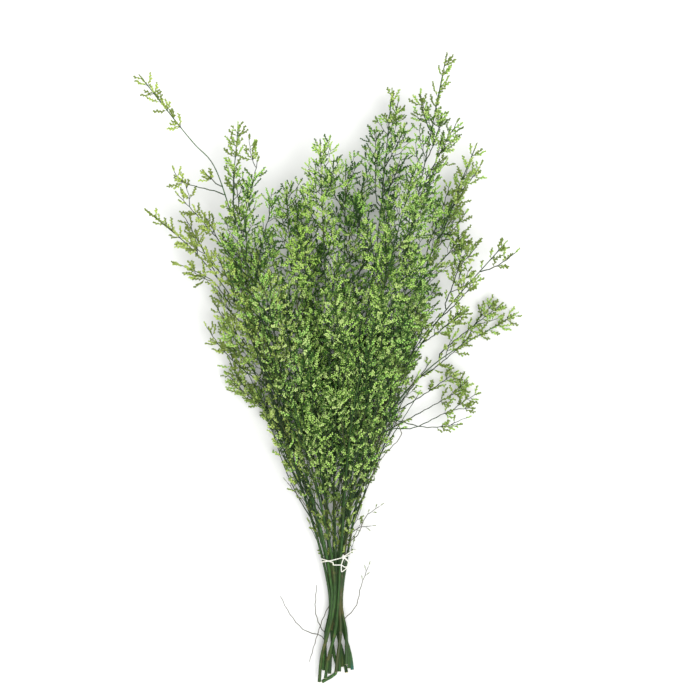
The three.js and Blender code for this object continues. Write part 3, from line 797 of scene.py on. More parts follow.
def fits(p):
    """True if a point is near enough to the solids' box, at its sides and above it."""
    low, high = CAD_BOX
    inside = all(low[i] / MM - OUTSIDE < p[i] < high[i] / MM + OUTSIDE for i in (0, 1))
    return inside and p[2] < high[2] / MM + OUTSIDE


def density(p):
    """How much more grows at a point than the solids have: 1 in the dense part, little outside it."""
    heights, lefts, rights = zip(*DENSE_ROWS)
    left, right = np.interp(p[1], heights, lefts), np.interp(p[1], heights, rights)
    wave = sum(height * math.sin((p[1] + 2 * p[0]) / size) for height, size in DENSE_WAVES)
    inside = min(p[0] - left + wave, right - p[0] - wave, p[1] - heights[0], heights[-1] - p[1])
    return min(max(0.5 + inside / (2 * DENSE_EDGE), 0.0), 1.0)


def stem_radius(share):
    """The radius of a main stem, at a share of its length."""
    return lerp(*STEM_FINE, 1 - (1 - min(share, 1)) ** STEM_TAPER)


def square_to(way, turn):
    """A direction square to a way, turned about it."""
    u = unit(cross(way, UP if abs(way[2]) < 0.9 else ACROSS))
    return u * math.cos(turn) + cross(way, u) * math.sin(turn)


class Grower:
    """Grows the fine parts of one stem, from its own seed."""

    def __init__(self, n, crowd):
        self.rng = np.random.default_rng(FINE_SEED + n)
        self.parts = {
            "stem": Marked(TUBE_MARKS), "twigs": Marked(TUBE_MARKS), "flowers": Marked(FLOWER_MARKS),
        }
        self.crowd = crowd

    def between(self, low, high):
        return lerp(low, high, self.rng.random())

    def turn_of(self, k):
        """How far round its limb the next twig stands."""
        return k * math.radians(GOLDEN_ANGLE) + self.between(*TURN_SPREAD)

    def tube(self, part, points, radii, **marks):
        self.parts[part].add_way(points, thickness=[r * MM for r in radii], **marks)

    def stem_tube(self, limb):
        """The main stem: it swells where it branches, and has scars below its flowers."""
        length = limb.line.length
        swells = [c.s for c in limb.clusters]
        drawn = np.cumsum([self.between(*SCAR_PITCH) for _ in range(SCARS)])
        scars = [s for s in drawn if s < limb.by_rule[0]]
        places = {*np.arange(0, length, STEM_RINGS), CUT_EDGE, length}
        places |= {s + step for s in swells for step in SWELL_RINGS}
        places |= {s + step for s in scars for step in SCAR_RINGS}
        places = [s for s in sorted(places) if 0 <= s <= length]
        points, radii, browns = [], [], []
        for s in places:
            swell = min(abs(s - c) for c in swells)
            scar = min((abs(s - c) for c in scars), default=length)
            r = stem_radius(s / length) * self.between(*STEM_SPREAD)
            r *= 1 + SWELL * math.exp(-((swell / SWELL_LENGTH) ** 2))
            r *= 1 + SCAR_SWELL * (scar < SCAR_LENGTH)
            p = limb.line.at(s)
            brown = limb.brown * np.interp(p[1], *zip(*BROWN_ALONG))
            browns.append(brown + SCAR_BROWN * (scar < BROWN_LENGTH))
            p[2] = max(p[2], r)
            points.append(p)
            radii.append(r)
        radii[-1] *= 0.5
        dyed = [math.exp(-s / DYE_RISE) * (limb.stem.name in DYED_FEET) for s in places]
        cut = [s == 0 for s in places]
        self.tube("stem", points, radii, tone=limb.tone, brown=browns, cut=cut, dyed=dyed)

    def limb_tube(self, root, line, kind, brown=0.0, zigzag=ZIGZAG):
        """A twig that turns a little at each joint; gives its joints as (length, point, way)."""
        count = max(int(line.length / NODE_PITCH), 2)
        radii = LIMB_FINE[kind]
        points, joints = [root], []
        for k in range(count + 1):
            s = line.length * k / count
            way = line.way_at(s)
            p = line.at(s)
            if 0 < k < count:
                p = p + square_to(way, k * math.pi + JOINT_TURN) * zigzag
            p[2] = max(p[2], radii[0] + 0.1)
            points.append(p)
            joints.append((s, p, way))
        shares = np.linspace(0, 1, len(points))
        radii = [lerp(*radii, share) * self.between(*LIMB_SPREAD) for share in shares]
        self.tube("twigs", points, radii, tone=self.between(*TWIG_TONES), brown=brown)
        return joints

    def spike(self, root, start, tip, way):
        """A short stalk with florets in two ranks."""
        along = tip - start
        length = math.sqrt(along @ along)
        bow = along - way * (along @ way)
        points = np.array([root, start + along * STALK_MIDDLE + bow * STALK_BOW, tip])
        points[:, 2] = np.maximum(points[:, 2], FLOOR_CLEARANCE)
        radii = [lerp(*STALK_FINE, t) for t in (0, 0.5, 1)]
        self.tube("twigs", points, radii, tone=self.between(*TWIG_TONES), stalk=1.0)
        self.florets_along(points, length, FLORETS_FROM, EAR_SCALE - DENSE_SCALE * density(tip))
        self.crowd.add(tip)

    def florets_along(self, points, length, share, scale=1.0, tone=None):
        """An ear of florets that lean outwards in two ranks, the largest in its middle."""
        count = max(int(length * (1 - share) / (FLORET_PITCH * scale)), 2)
        tone = self.between(0, 1) if tone is None else tone
        root = points[0]
        dense = density(root)
        # Lying deep in the bunch darkens an ear: painted shade of the growth above it, and also less faded
        # colour
        deep = dense * max(1 - root[2] / np.interp(root[1], *zip(*UPPER_SIDE)), 0)
        painted_shade_and_dimming = DEEP_PAINTED_SHADE * deep + THIN_SHADE * (1 - dense) + np.interp(root[1], *zip(*LOW_SHADE))
        line = Line(points)
        roll = self.between(0, 6.28)
        places, aims, sizes, tones = [], [], [], []
        for k in range(count + 1):
            s = lerp(share, 1, k / count) * line.length
            way = line.way_at(s)
            lean = math.radians(FLORET_LEAN + self.between(*FLORET_LEAN_SPREAD))
            lean *= 0.3 if k == count else 1
            aim = leaning(way, square_to(way, roll + k * math.pi + self.between(*ROLL_SPREAD)), lean)
            p = line.at(s)
            size = self.between(*FLORET_SIZES) * scale
            size *= EAR_LEAST + EAR_MIDDLE * math.sin(math.pi * (EAR_WAVE[0] + EAR_WAVE[1] * k / count))
            if p[2] + aim[2] * FLORET_LENGTH * size < FLORET_CLEARANCE:
                rise = max(-0.1, (FLORET_CLEARANCE - p[2]) / FLORET_LENGTH)
                aim = unit(np.array([aim[0], aim[1], rise]))
            places.append(p)
            aims.append(aim)
            sizes.append(size)
            own = tone * EAR_TONE + self.between(*FLORET_TONES) - painted_shade_and_dimming - END_SHADE * (k > count - 2)
            tones.append(min(max(own, 0), 1))
        self.parts["flowers"].add(places, aim=aims, size=sizes, tone=tones, faded=1 - dense)

    def spikes_on(self, joints, first, last, taken=(), chance=SPIKE_CHANCE):
        """Spikes from the joints of a limb, but not where the solid has its own."""
        for k, (s, p, way) in enumerate(joints):
            if not first <= s <= last or any(abs(s - c) < SPIKE_GAP for c in taken):
                continue
            if self.rng.random() > density(p) * DENSE_CHANCE + chance:
                continue
            lean = math.radians(self.between(*FINE_SPIKE_LEAN))
            side = square_to(way, k * math.pi + JOINT_TURN + self.between(*ROLL_SPREAD))
            length = self.between(*FINE_SPIKE_LENGTH) * (0.8 + 0.2 * density(p))
            tip = p + leaning(way, side, lean) * length
            if tip[2] >= FLOOR_CLEARANCE and fits(tip):
                self.spike(p, p + side * 0.2, tip, way)

    def dress(self, joints, first, taken=(), chance=SPIKE_CHANCE, ear=7):
        """Spikes along a limb, and the ear that it ends in."""
        length = joints[-1][0]
        self.spikes_on(joints, first, length - TIP_CLEAR, taken, chance)
        self.florets_along([p for s, p, way in joints if s > length - END_EAR], ear, 0)

    def flowering_limb(self, limb):
        joints = self.limb_tube(limb.root, limb.line, limb.kind)
        taken = [c.s for c in limb.clusters]
        first = taken[0] - 2 * NODE_PITCH if taken else limb.line.length * 0.4
        self.dress(joints, first, taken, ear=END_EAR)
        return first

    def fine_twigs(self, limb, first, last, kind):
        """More twigs than the solid has, each with its own spikes."""
        s = first + self.between(0, 4)
        k = 0
        while s < last:
            share = (s - first) / (last - first)
            if self.rng.random() < density(limb.line.at(s)):
                turn = self.turn_of(k)
                length = lerp(*FINE_TWIG_LENGTH[kind], share) * self.between(*FINE_LENGTH_SPREAD)
                self.fine_twig(limb, s, turn, length)
            s += FINE_TWIG_PITCH[kind] * self.between(*PITCH_SPREAD)
            k += 1

    def least_crowded(self, way, turn, tip_to, least):
        """Of a few sides of a limb, the one where a twig's tip has the fewest ears around it."""
        best = None
        for k in range(SIDES_TRIED):
            side = square_to(way, turn + 2 * math.pi * k / SIDES_TRIED)
            tip = tip_to(side)
            crowd = self.crowd.at(tip)
            most = best[0] if best else CROWD_FULL * (0.2 + 0.8 * density(tip))
            if fits(tip) and density(tip) >= least and crowd < most:
                best = (crowd, side, tip)
        return best[1:] if best else None

    def twig_line(self, root, way, ahead, turn, length, angles, least, lowest=FLOOR_CLEARANCE):
        """A twig's line to where there is room for it: the angles are where it leaves and where it ends."""
        leave, end = (math.radians(self.between(*span)) for span in angles)
        found = self.least_crowded(way, turn, lambda side: root + leaning(ahead, side, end) * length, least)
        if not found:
            return None
        side, tip = found
        middle = root + leaning(way, side, leave) * length / 2
        for p in (middle, tip):
            p[2] = max(p[2], lowest)
        return bend(root, middle, tip)

    def fine_twig(self, limb, s, turn, length, angles=FINE_ANGLES, least=0.3):
        root, way = limb.line.at(s), limb.line.way_at(s)
        line = self.twig_line(root, way, way, turn, length, angles, least)
        if line:
            self.dress(self.limb_tube(root, line, "fine"), line.length * 0.2)

    def low_sprigs(self, limb, first, last):
        """Small slender sprigs among the bare stems, below the dense part."""
        for k, s in enumerate(np.arange(first, last, LOW_SPRIG_PITCH)):
            s += self.between(-3, 3)
            turn = self.turn_of(k)
            self.fine_twig(limb, s, turn, self.between(*LOW_SPRIG_LENGTH), LOW_SPRIG_ANGLES, 0)

    def low_twigs(self, limb, first, last):
        """Long thin branches that run up among the main stems, into the dense part."""
        for k, s in enumerate(np.arange(first, last, LOW_TWIG_PITCH)):
            root, way = limb.line.at(s), limb.line.way_at(s)
            turn = self.turn_of(k)
            length = self.between(*LOW_TWIG_LENGTH)
            ahead = unit(limb.line.at(min(s + length, limb.line.length)) - root)
            line = self.twig_line(root, way, ahead, turn, length, LOW_TWIG_ANGLES, 0.15, 3)
            if line:
                joints = self.limb_tube(root, line, "branch", zigzag=0.1)
                self.dress(joints, line.length * self.between(0.06, 0.4), chance=0.05)

    def bare_twig(self, root, line):
        """A bare twig, with a few small dry ears at its end unless it is near the feet."""
        joints = self.limb_tube(root, line, "bare", 1.0)
        if joints[-1][1][1] < DRY_EARS_FROM:
            return
        for k, (s, p, way) in enumerate(joints):
            if s > line.length - 2 * END_EAR:
                lean = math.radians(self.between(*DRY_EAR_LEAN)) * (k + 1 < len(joints))
                side = square_to(way, k * math.pi + self.between(-0.5, 0.5))
                aim = leaning(way, side, lean)
                ear = [p, p + aim * 2, p + aim * self.between(*DRY_EAR_LENGTH)]
                self.tube("twigs", ear, DRY_STALK, tone=0.5, brown=0.8, stalk=1.0)
                self.florets_along(ear, 4, 0.3, 0.55, 0.1)


@lru_cache(None)
def fine_growth():
    """The fine growth of each stem, by the stem's name, and of it each part by its name."""
    stems, flowering, bare_twigs, spikes = grown_bunch()
    crowd = Crowd()
    growers = [Grower(n, crowd) for n in range(len(stems))]
    branches = [[] for _ in stems]
    for n, (grower, limb) in enumerate(zip(growers, stems)):
        brown = lerp(*OTHER_BROWNS, grower.rng.random() ** 3)
        limb.brown = BROWN_STEMS.get(limb.stem.name, brown)
        limb.tone = n * STEM_TONES % 1
        grower.stem_tube(limb)
        line = limb.line
        joints = [(s, line.at(s), line.way_at(s)) for s in np.arange(0, line.length, NODE_PITCH)]
        taken = [c.s for c in limb.clusters]
        grower.spikes_on(joints, line.length - TOP_FLOWERING, line.length - TIP_CLEAR, taken, 0.5)
        grower.florets_along([line.at(line.length - END_EAR), line.at(line.length)], END_EAR, 0)
        for stem, *spike in spikes:
            if stem is limb.stem:
                grower.spike(*spike)
        for part in flowering:
            if part.stem is limb.stem:
                first = grower.flowering_limb(part)
                if part.kind == "branch" and part.line.length > 30:
                    branches[n].append((part, first))
        for part in bare_twigs:
            if part.stem is limb.stem:
                grower.bare_twig(part.root, part.line)
        for y, way in FINE_BARE_TWIGS.get(limb.stem.name, []):
            root = line.at(line.where_y(y))
            grower.bare_twig(root, through([root, *way]))
    for grower, limb in zip(growers, stems):
        grower.low_twigs(limb, limb.line.where_y(LOW_FROM), limb.by_rule[0])
        grower.low_sprigs(limb, limb.line.where_y(LOW_SPRIG_FROM), limb.by_rule[0])
    for n, (grower, limb) in enumerate(zip(growers, stems)):
        grower.fine_twigs(limb, limb.by_rule[0] - 6, limb.line.length - 10, "stem")
        for part, first in branches[n]:
            grower.fine_twigs(part, first, part.line.length - END_EAR, "branch")
    return {limb.stem.name: grower.parts for limb, grower in zip(stems, growers)}


class Nodes:
    """Adds nodes to a tree, and feeds each input from a value or from another node."""

    def __init__(self, tree):
        self.tree = tree
        self.tree.nodes.clear()

    def add(self, kind, inputs=None, output=None, **settings):
        made = self.tree.nodes.new(kind)
        made.location = (180 * len(self.tree.nodes), 0)
        for key, value in settings.items():
            setattr(made, key, value)
        for key, value in (inputs or {}).items():
            socket = next(s for s in made.inputs if s.identifier == key and s.enabled)
            if isinstance(value, bpy.types.NodeSocket):
                self.tree.links.new(value, socket)
            else:
                socket.default_value = value
        return made.outputs[output] if output else next((s for s in made.outputs if s.enabled), None)

    def math(self, operation, a, b, **settings):
        return self.add("ShaderNodeMath", {"Value": a, "Value_001": b}, operation=operation, **settings)

    def mark(self, name, kind="FLOAT"):
        """What the points of a mesh carry under a name, in a geometry tree."""
        return self.add("GeometryNodeInputNamedAttribute", {"Name": name}, data_type=kind)

    def surface_mark(self, name):
        """What the points of a mesh carry under a name, in a material."""
        return self.add("ShaderNodeAttribute", output="Fac", attribute_name=name)

    def circle(self, count, radius):
        return self.add("GeometryNodeCurvePrimitiveCircle", {"Resolution": count, "Radius": radius})

    def ways(self, geometry, **more):
        return self.add("GeometryNodeMeshToCurve", {"Mesh": geometry, **more})

    def tube(self, way, profile, **more):
        return self.add(
            "GeometryNodeCurveToMesh", {"Curve": way, "Profile Curve": profile, **more, "Fill Caps": True}
        )

    def smooth(self, geometry):
        return self.add("GeometryNodeSetShadeSmooth", {"Geometry": geometry, "Shade Smooth": True})

    def close(self, geometry, material):
        """Ends a geometry tree in plain geometry that has its material."""
        plain = self.add("GeometryNodeRealizeInstances", {"Geometry": geometry})
        dressed = self.add("GeometryNodeSetMaterial", {"Geometry": plain, "Material": material})
        self.add("NodeGroupOutput")
        self.tree.links.new(dressed, self.tree.nodes[-1].inputs[0])
        return self.tree

    def place(self, scale=(1, 1, 1)):
        where = self.add("ShaderNodeTexCoord", output="Object")
        return self.add("ShaderNodeMapping", {"Vector": where, "Scale": scale})

    def noise(self, where, scale, detail=2.0):
        return self.add("ShaderNodeTexNoise", {"Vector": where, "Scale": scale, "Detail": detail})

    def spread(self, value, low, high, to_low=0.0, to_high=1.0):
        """A value taken from one range to another."""
        return self.add("ShaderNodeMapRange", {
            "Value": value, "From Min": low, "From Max": high, "To Min": to_low, "To Max": to_high,
        })

    def ramp(self, value, stops):
        made = self.add("ShaderNodeValToRGB", {"Fac": value})
        elements = made.node.color_ramp.elements
        while len(elements) < len(stops):
            elements.new(0.5)
        for element, (at, colour) in zip(elements, stops):
            element.position = at
            element.color = colour
        return made

    def mix(self, share, a, b, blend="MIX"):
        return self.add(
            "ShaderNodeMix", {"Factor_Float": share, "A_Color": a, "B_Color": b},
            data_type="RGBA", blend_type=blend,
        )

    def finish(self, colour, roughness, gloss, bump=None, **more):
        """Ends a material in its surface; a bump is given as its strength, its depth and its height."""
        if bump:
            more["Normal"] = self.add("ShaderNodeBump", dict(zip(("Strength", "Distance", "Height"), bump)))
        shader = self.add("ShaderNodeBsdfPrincipled", {
            "Base Color": colour, "Roughness": roughness, "Specular IOR Level": gloss, **more,
        })
        self.add("ShaderNodeOutputMaterial", {"Surface": shader})


def new_tree(name, inputs):
    """A geometry tree with named inputs, as its nodes and its input sockets by name."""
    tree = bpy.data.node_groups.new(name, "GeometryNodeTree")
    tree.interface.new_socket("Geometry", in_out="INPUT", socket_type="NodeSocketGeometry")
    for title, kind in inputs.items():
        tree.interface.new_socket(title, in_out="INPUT", socket_type="NodeSocket" + kind)
    tree.interface.new_socket("Geometry", in_out="OUTPUT", socket_type="NodeSocketGeometry")
    nodes = Nodes(tree)
    nodes.add("NodeGroupInput")
    return nodes, {s.name: s for s in tree.nodes[0].outputs if s.name}


def twig_tree():
    """Tubes on ways, as thick as each point says; flower stalks get fewer sides."""
    nodes, given = new_tree("Twigs", {"Sides": "Int", "Stalk sides": "Int", "Material": "Material"})
    is_stalk = nodes.add(
        "FunctionNodeCompare", {"A": nodes.mark("stalk"), "B": 0.5},
        data_type="FLOAT", operation="GREATER_THAN",
    )
    is_twig = nodes.add("FunctionNodeBooleanMath", {"Boolean": is_stalk}, operation="NOT")
    joined = nodes.add("GeometryNodeJoinGeometry")
    for which, sides in ((is_twig, "Sides"), (is_stalk, "Stalk sides")):
        ways = nodes.ways(given["Geometry"], Selection=which)
        ring = nodes.circle(given[sides], 1.0)
        tube = nodes.tube(ways, ring, Scale=nodes.mark("thickness"))
        nodes.tree.links.new(tube, joined.node.inputs[0])
    return nodes.close(nodes.smooth(joined), given["Material"])


def flower_tree():
    """A small dry flower on each point, aimed as the point says and turned at random."""
    nodes, given = new_tree("Flowers", {
        "Flower": "Object", "Length": "Float", "Width": "Float", "Seed": "Int", "Material": "Material",
    })
    flower = nodes.add("GeometryNodeObjectInfo", {"Object": given["Flower"]}, "Geometry")
    aimed = nodes.add(
        "FunctionNodeAlignRotationToVector", {"Vector": nodes.mark("aim", "FLOAT_VECTOR")}, axis="Z"
    )
    roll = nodes.add(
        "FunctionNodeRandomValue", {"Min_001": 0.0, "Max_001": 6.283, "Seed": given["Seed"]},
        data_type="FLOAT",
    )
    spin = nodes.add("FunctionNodeAxisAngleToRotation", {"Axis": (0, 0, 1), "Angle": roll})
    turned = nodes.add(
        "FunctionNodeRotateRotation", {"Rotation": aimed, "Rotate By": spin}, rotation_space="LOCAL"
    )
    size = nodes.mark("size")
    wide, long = (nodes.math("MULTIPLY", size, given[measure]) for measure in ("Width", "Length"))
    scale = nodes.add("ShaderNodeCombineXYZ", {"X": wide, "Y": wide, "Z": long})
    flowers = nodes.add("GeometryNodeInstanceOnPoints", {
        "Points": given["Geometry"], "Instance": flower, "Rotation": turned, "Scale": scale,
    })
    return nodes.close(flowers, given["Material"])


def thread_tree():
    """Plies that wind round a way, turned at each point as the point says."""
    nodes, given = new_tree("Twisted string", {"Plies": "Int", "Ply radius": "Float", "Material": "Material"})
    ways = nodes.ways(given["Geometry"])
    turned = nodes.add("GeometryNodeSetCurveTilt", {"Curve": ways, "Tilt": nodes.mark("twist")})
    spots = nodes.circle(given["Plies"], given["Ply radius"])
    ply = nodes.circle(PLY_SIDES, given["Ply radius"])
    profile = nodes.add("GeometryNodeInstanceOnPoints", {"Points": spots, "Instance": ply})
    plain = nodes.add("GeometryNodeRealizeInstances", {"Geometry": profile})
    return nodes.close(nodes.smooth(nodes.tube(turned, plain)), given["Material"])


def put(name, data):
    """Puts an object with its data in the scene."""
    made = bpy.data.objects.new(name, data)
    bpy.context.collection.objects.link(made)
    return made


def grow_mesh(name, ways, tree, inputs):
    """Runs a tree on a mesh of ways or points, and gives the plain mesh that it makes."""
    carrier = put(name + "_ways", ways)
    modifier = carrier.modifiers.new("Growth", "NODES")
    modifier.node_group = tree
    sockets = {s.name: s for s in tree.interface.items_tree if s.in_out == "INPUT"}
    for title, value in inputs.items():
        modifier[sockets[title].identifier] = value
    depsgraph = bpy.context.evaluated_depsgraph_get()
    mesh = bpy.data.meshes.new_from_object(carrier.evaluated_get(depsgraph), depsgraph=depsgraph)
    mesh.name = name
    bpy.data.objects.remove(carrier)
    bpy.data.meshes.remove(ways)
    if not mesh.polygons:
        raise RuntimeError(f"{name} grew no faces")
    return mesh


def add_piece(name, mesh, node):
    """Puts a finished mesh in the scene, as a piece that rides with the bunch and replaces a node."""
    piece = put(name, mesh)
    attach(piece, "root")
    slot_of(node)
    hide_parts(node)


@lru_cache(None)
def slot_of(node):
    """The record's material slot for a node."""
    parts = frame["record"]["subparts"]
    return next(part["material_slot"] for part in parts if part["node"] == node)


def grow_part(part, tree, inputs_of):
    """Grows one part of every stem, with the inputs that suit the stem's number and slot."""
    for n, (node, parts) in enumerate(fine_growth().items()):
        name = f"{node}_{part}"
        add_piece(name, grow_mesh(name, parts[part].mesh(node), tree, inputs_of(n, slot_of(node))), node)


def linear(code):
    """A colour of six hex digits, as the linear values that a socket takes."""
    parts = [int(code[i : i + 2], 16) / 255 for i in (0, 2, 4)]
    return [c / 12.92 if c <= 0.04045 else ((c + 0.055) / 1.055) ** 2.4 for c in parts]


def full(colour, gain=1.0):
    return (*[min(c * gain, 1.0) for c in colour], 1.0)


def new_material(name):
    material = bpy.data.materials.new(name)
    material.use_nodes = True
    return material, Nodes(material.node_tree)


def flower_material(name, looks, pale, deep):
    """Papery dry flowers: green bracts, a pale ribbed cup and a dark middle."""
    material, nodes = new_material(name)
    along, tone = nodes.surface_mark("along"), nodes.surface_mark("tone")
    where = nodes.place()
    bright = nodes.ramp(along, [
        (0.0, full(looks.bract, 0.4)), (0.28, full(deep, 0.7)), (0.55, full(pale, 0.85)),
        (0.74, full(pale)), (0.9, full(looks.rim)), (1.0, full(looks.middle)),
    ])
    dull = nodes.ramp(along, [
        (0.0, full(looks.bract, 0.25)), (0.45, full(deep, 0.2)), (0.9, full(deep, 0.6)),
        (1.0, full(looks.middle, 0.6)),
    ])
    # The tone mark holds each floret's random tone less its painted shade from lying deep in the bunch; a low
    # tone takes the darker dull colours
    single = nodes.mix(nodes.spread(tone, 0.24, 0.6), dull, bright)
    patches = nodes.noise(where, 13.0)
    up = nodes.add("ShaderNodeSeparateXYZ", {"Vector": where}, "Y")
    slope = nodes.math("SUBTRACT", up, up.node.outputs["X"])
    region = nodes.math("ADD", nodes.spread(slope, -0.3, 0.35, -0.35, 0.3), patches)
    cast = nodes.spread(region, 0.4, 0.85, 0.0, 0.35)
    olive = nodes.mix(cast, single, full(looks.olive), "SOFT_LIGHT")
    fade = nodes.spread(nodes.surface_mark("faded"), 0.0, 1.0, 0.0, 0.42)
    faded = nodes.mix(fade, olive, full(looks.faded))
    specks = nodes.noise(where, 900.0, 1.0)
    coloured = nodes.mix(nodes.spread(specks, 0.4, 0.7, 0.0, 0.1), faded, full(looks.straw))
    ribs = nodes.noise(where, 2600.0)
    nodes.finish(coloured, nodes.spread(specks, 0.3, 0.7, 0.62, 0.9), 0.12, (0.5, 0.0003, ribs))
    return material


def stem_material(name, looks, green):
    """Dry stems: lengthwise streaks of green, brown patches, grey-brown where bare, pale cut ends."""
    material, nodes = new_material(name)
    tone, brown, cut, dyed = (nodes.surface_mark(mark) for mark in ("tone", "brown", "cut", "dyed"))
    streaks = nodes.noise(nodes.place((1.0, 0.07, 1.0)), 1400.0, 3.0)
    patches = nodes.noise(nodes.place((1.0, 0.35, 1.0)), 70.0, 3.0)
    greens = nodes.ramp(streaks, [
        (0.28, full(green, 0.35)), (0.5, full(green, 1.0)), (0.74, full(green, 2.4)),
    ])
    toned = nodes.mix(nodes.spread(tone, 0.0, 1.0, 0.0, 0.85), greens, full(green, 0.35))
    old = nodes.mix(nodes.spread(brown, 0.6, 1.0), full(looks.aged), full(looks.bark))
    aged = nodes.mix(nodes.spread(streaks, 0.3, 0.7, 0.55, 0.0), old, full(looks.bract, 0.5))
    worn = nodes.math("ADD", nodes.spread(patches, 0.46, 0.72, -0.35, 0.5), brown, use_clamp=True)
    bark = nodes.mix(worn, toned, aged)
    ended = nodes.mix(cut, nodes.mix(dyed, bark, full(looks.dye)), full(looks.pith))
    nodes.finish(ended, nodes.spread(patches, 0.3, 0.7, 0.5, 0.78), 0.35, (0.6, 0.0004, streaks))
    return material


def string_material(looks):
    """Soft white string: fine fibres, a little grey here and there."""
    material, nodes = new_material("white_string")
    fibres = nodes.noise(nodes.place(), 2400.0, 3.0)
    dirt = nodes.noise(nodes.place(), 160.0)
    fibre = nodes.ramp(fibres, [(0.3, full(looks.string, 0.72)), (0.62, full(looks.string))])
    coloured = nodes.mix(nodes.spread(dirt, 0.4, 0.75, 0.0, 0.3), fibre, full(looks.straw, 1.5))
    roughness = nodes.spread(fibres, 0.3, 0.7, 0.75, 0.95)
    nodes.finish(coloured, roughness, 0.2, (0.7, 0.0003, fibres), **{"Sheen Weight": 0.25})
    return material


def floor_material(looks):
    material, nodes = new_material("pale_floor")
    cloud = nodes.noise(nodes.place(), 3.0)
    nodes.finish(nodes.mix(cloud, full(looks.floor), full(looks.floor, 0.985)), 0.9, 0.1)
    return material


def round_bunch(angle, y):
    """Where the string passes round the bunch in one direction, seen along Y, and that direction."""
    out = np.array([math.cos(angle), 0.0, math.sin(angle)])
    best = None
    for limb in grown_bunch()[0]:
        s = limb.line.where_y(y)
        p = limb.line.at(s)
        radius = stem_radius(s / limb.line.length)
        if best is None or p @ out + radius > best[0]:
            best = (p @ out + radius, p, radius)
    return best[1] + out * (best[2] + THREAD_RADIUS), out


def string_turn(y, slant):
    """One turn of the string round the stems, with its slant spread evenly along it."""
    angles = np.linspace(0, 2 * math.pi, TURN_POINTS, endpoint=False)
    level = np.array([round_bunch(angle, y)[0] for angle in angles])
    steps = np.linalg.norm(np.roll(level, -1, axis=0) - level, axis=1)
    shares = (np.cumsum(steps) - steps) / steps.sum()
    return [round_bunch(a, y + slant * math.cos(2 * math.pi * t))[0] for a, t in zip(angles, shares)]


def evenly(points, is_closed):
    """Points at even steps along a way, and the twist of the string at each of them."""
    points = list(points) + ([points[0]] if is_closed else [])
    line = Line([p for i, p in enumerate(points) if not i or np.abs(p - points[i - 1]).max() > 1e-4])
    count = max(int(line.length / THREAD_STEP), 8)
    turns = max(round(line.length / THREAD_TWIST), 1)
    found = [line.at(line.length * k / count) for k in range(count + (not is_closed))]
    return found, [2 * math.pi * turns * k / count for k in range(len(found))]


def string_ways():
    """The string's turns, its knot, its drooping loop and its two loose ends, as one mesh of ways."""
    y, slant = STRING_TURNS[0]
    turn = math.radians(KNOT_TURN)
    seat, out = round_bunch(turn, y + slant * math.cos(turn))
    middle = seat + out * KNOT_OUT
    around = cross(ALONG, out)
    knot = []
    for t in np.linspace(0, 2 * math.pi, KNOT_POINTS, endpoint=False):
        wide = 2 + math.cos(3 * t)
        local = np.array([wide * math.cos(2 * t), wide * math.sin(2 * t), 1.3 * math.sin(3 * t)]) * KNOT_SIZE
        knot.append(middle + around * local[0] + ALONG * local[1] + out * local[2])
    droop = [round_bunch(math.radians(angle), y)[0] for angle, y in STRING_LOOP]
    loose = [[middle, *droop, middle - ALONG]]
    loose += [[middle + np.array(p, float) for p in end] for end in STRING_ENDS]
    ways = Marked(("twist",))
    for way in [*(string_turn(*turn) for turn in STRING_TURNS), knot]:
        found, twist = evenly(way, True)
        ways.add_way(found, True, twist=twist)
    for way in loose:
        found, twist = evenly(through(way).points, False)
        ways.add_way(found, twist=twist)
    return ways.mesh("string_ways")


def colour(title, about, code):
    return FloatVectorProperty(
        name=title, description=about, default=linear(code), min=0, max=1, subtype="COLOR"
    )


def length(title, about, millimetres):
    return FloatProperty(
        name=title, description=about, default=millimetres * MM, min=0, unit="LENGTH",
        subtype="DISTANCE", precision=5,
    )


def number(title, about, default, least, most):
    return IntProperty(name=title, description=about, default=default, min=least, max=most)


class BunchSizes(bpy.types.PropertyGroup):
    flower_length: length("Flower length", "Length of one dry flower", 2.65)
    flower_width: length("Flower width", "Width of one dry flower at its rim", 1.5)
    ply_radius: length("Ply radius", "Radius of one ply of the string", 0.3)
    stem_sides: number("Stem sides", "Sides of a main stem's tube", 10, 5, 24)
    twig_sides: number("Twig sides", "Sides of a twig's tube", 5, 3, 12)
    stalk_sides: number("Stalk sides", "Sides of a flower stalk's tube", 3, 3, 8)
    seed: number("Seed", "Seed for how each flower is turned", 11, 0, 9999)


class BunchLooks(bpy.types.PropertyGroup):
    bract: colour("Bracts", "The green at the foot of each flower", "1c3c0a")
    rim: colour("Rims", "The palest rims of the flowers", "dcee9f")
    middle: colour("Flower middle", "The dark middle of each flower", "47691f")
    soft_pale: colour("Soft green, pale", "Pale cups of the soft green stems", "9ccc50")
    soft_deep: colour("Soft green, deep", "Deep green of the soft green stems", "3d7a20")
    leaf_pale: colour("Leaf green, pale", "Pale cups of the leaf green stems", "82c048")
    leaf_deep: colour("Leaf green, deep", "Deep green of the leaf green stems", "2c6f20")
    olive_pale: colour("Olive green, pale", "Pale cups of the olive green stems", "b0cc58")
    olive_deep: colour("Olive green, deep", "Deep green of the olive green stems", "5a862a")
    olive: colour("Olive cast", "Where the bunch has faded towards olive", "a8b048")
    faded: colour("Faded sprays", "What the thin outer sprays have faded towards", "94a24e")
    straw: colour("Straw", "Faded specks", "c9c79a")
    stem: colour("Stems", "Green of the main stems", "284a14")
    twig: colour("Twigs", "Green of the twigs and stalks", "1a370a")
    aged: colour("Aged stems", "Olive brown where a stem has aged", "655a33")
    bark: colour("Bark", "Grey-brown of bare twigs", "625a50")
    dye: colour("Dye", "Blue-green where dye has dried on a stem's foot", "17584f")
    pith: colour("Cut ends", "Pale pith where a stem is cut", "c9bd93")
    string: colour("String", "White of the string", "f2f1ea")
    floor: colour("Floor", "The pale surface that the bunch lies on", "dadad8")


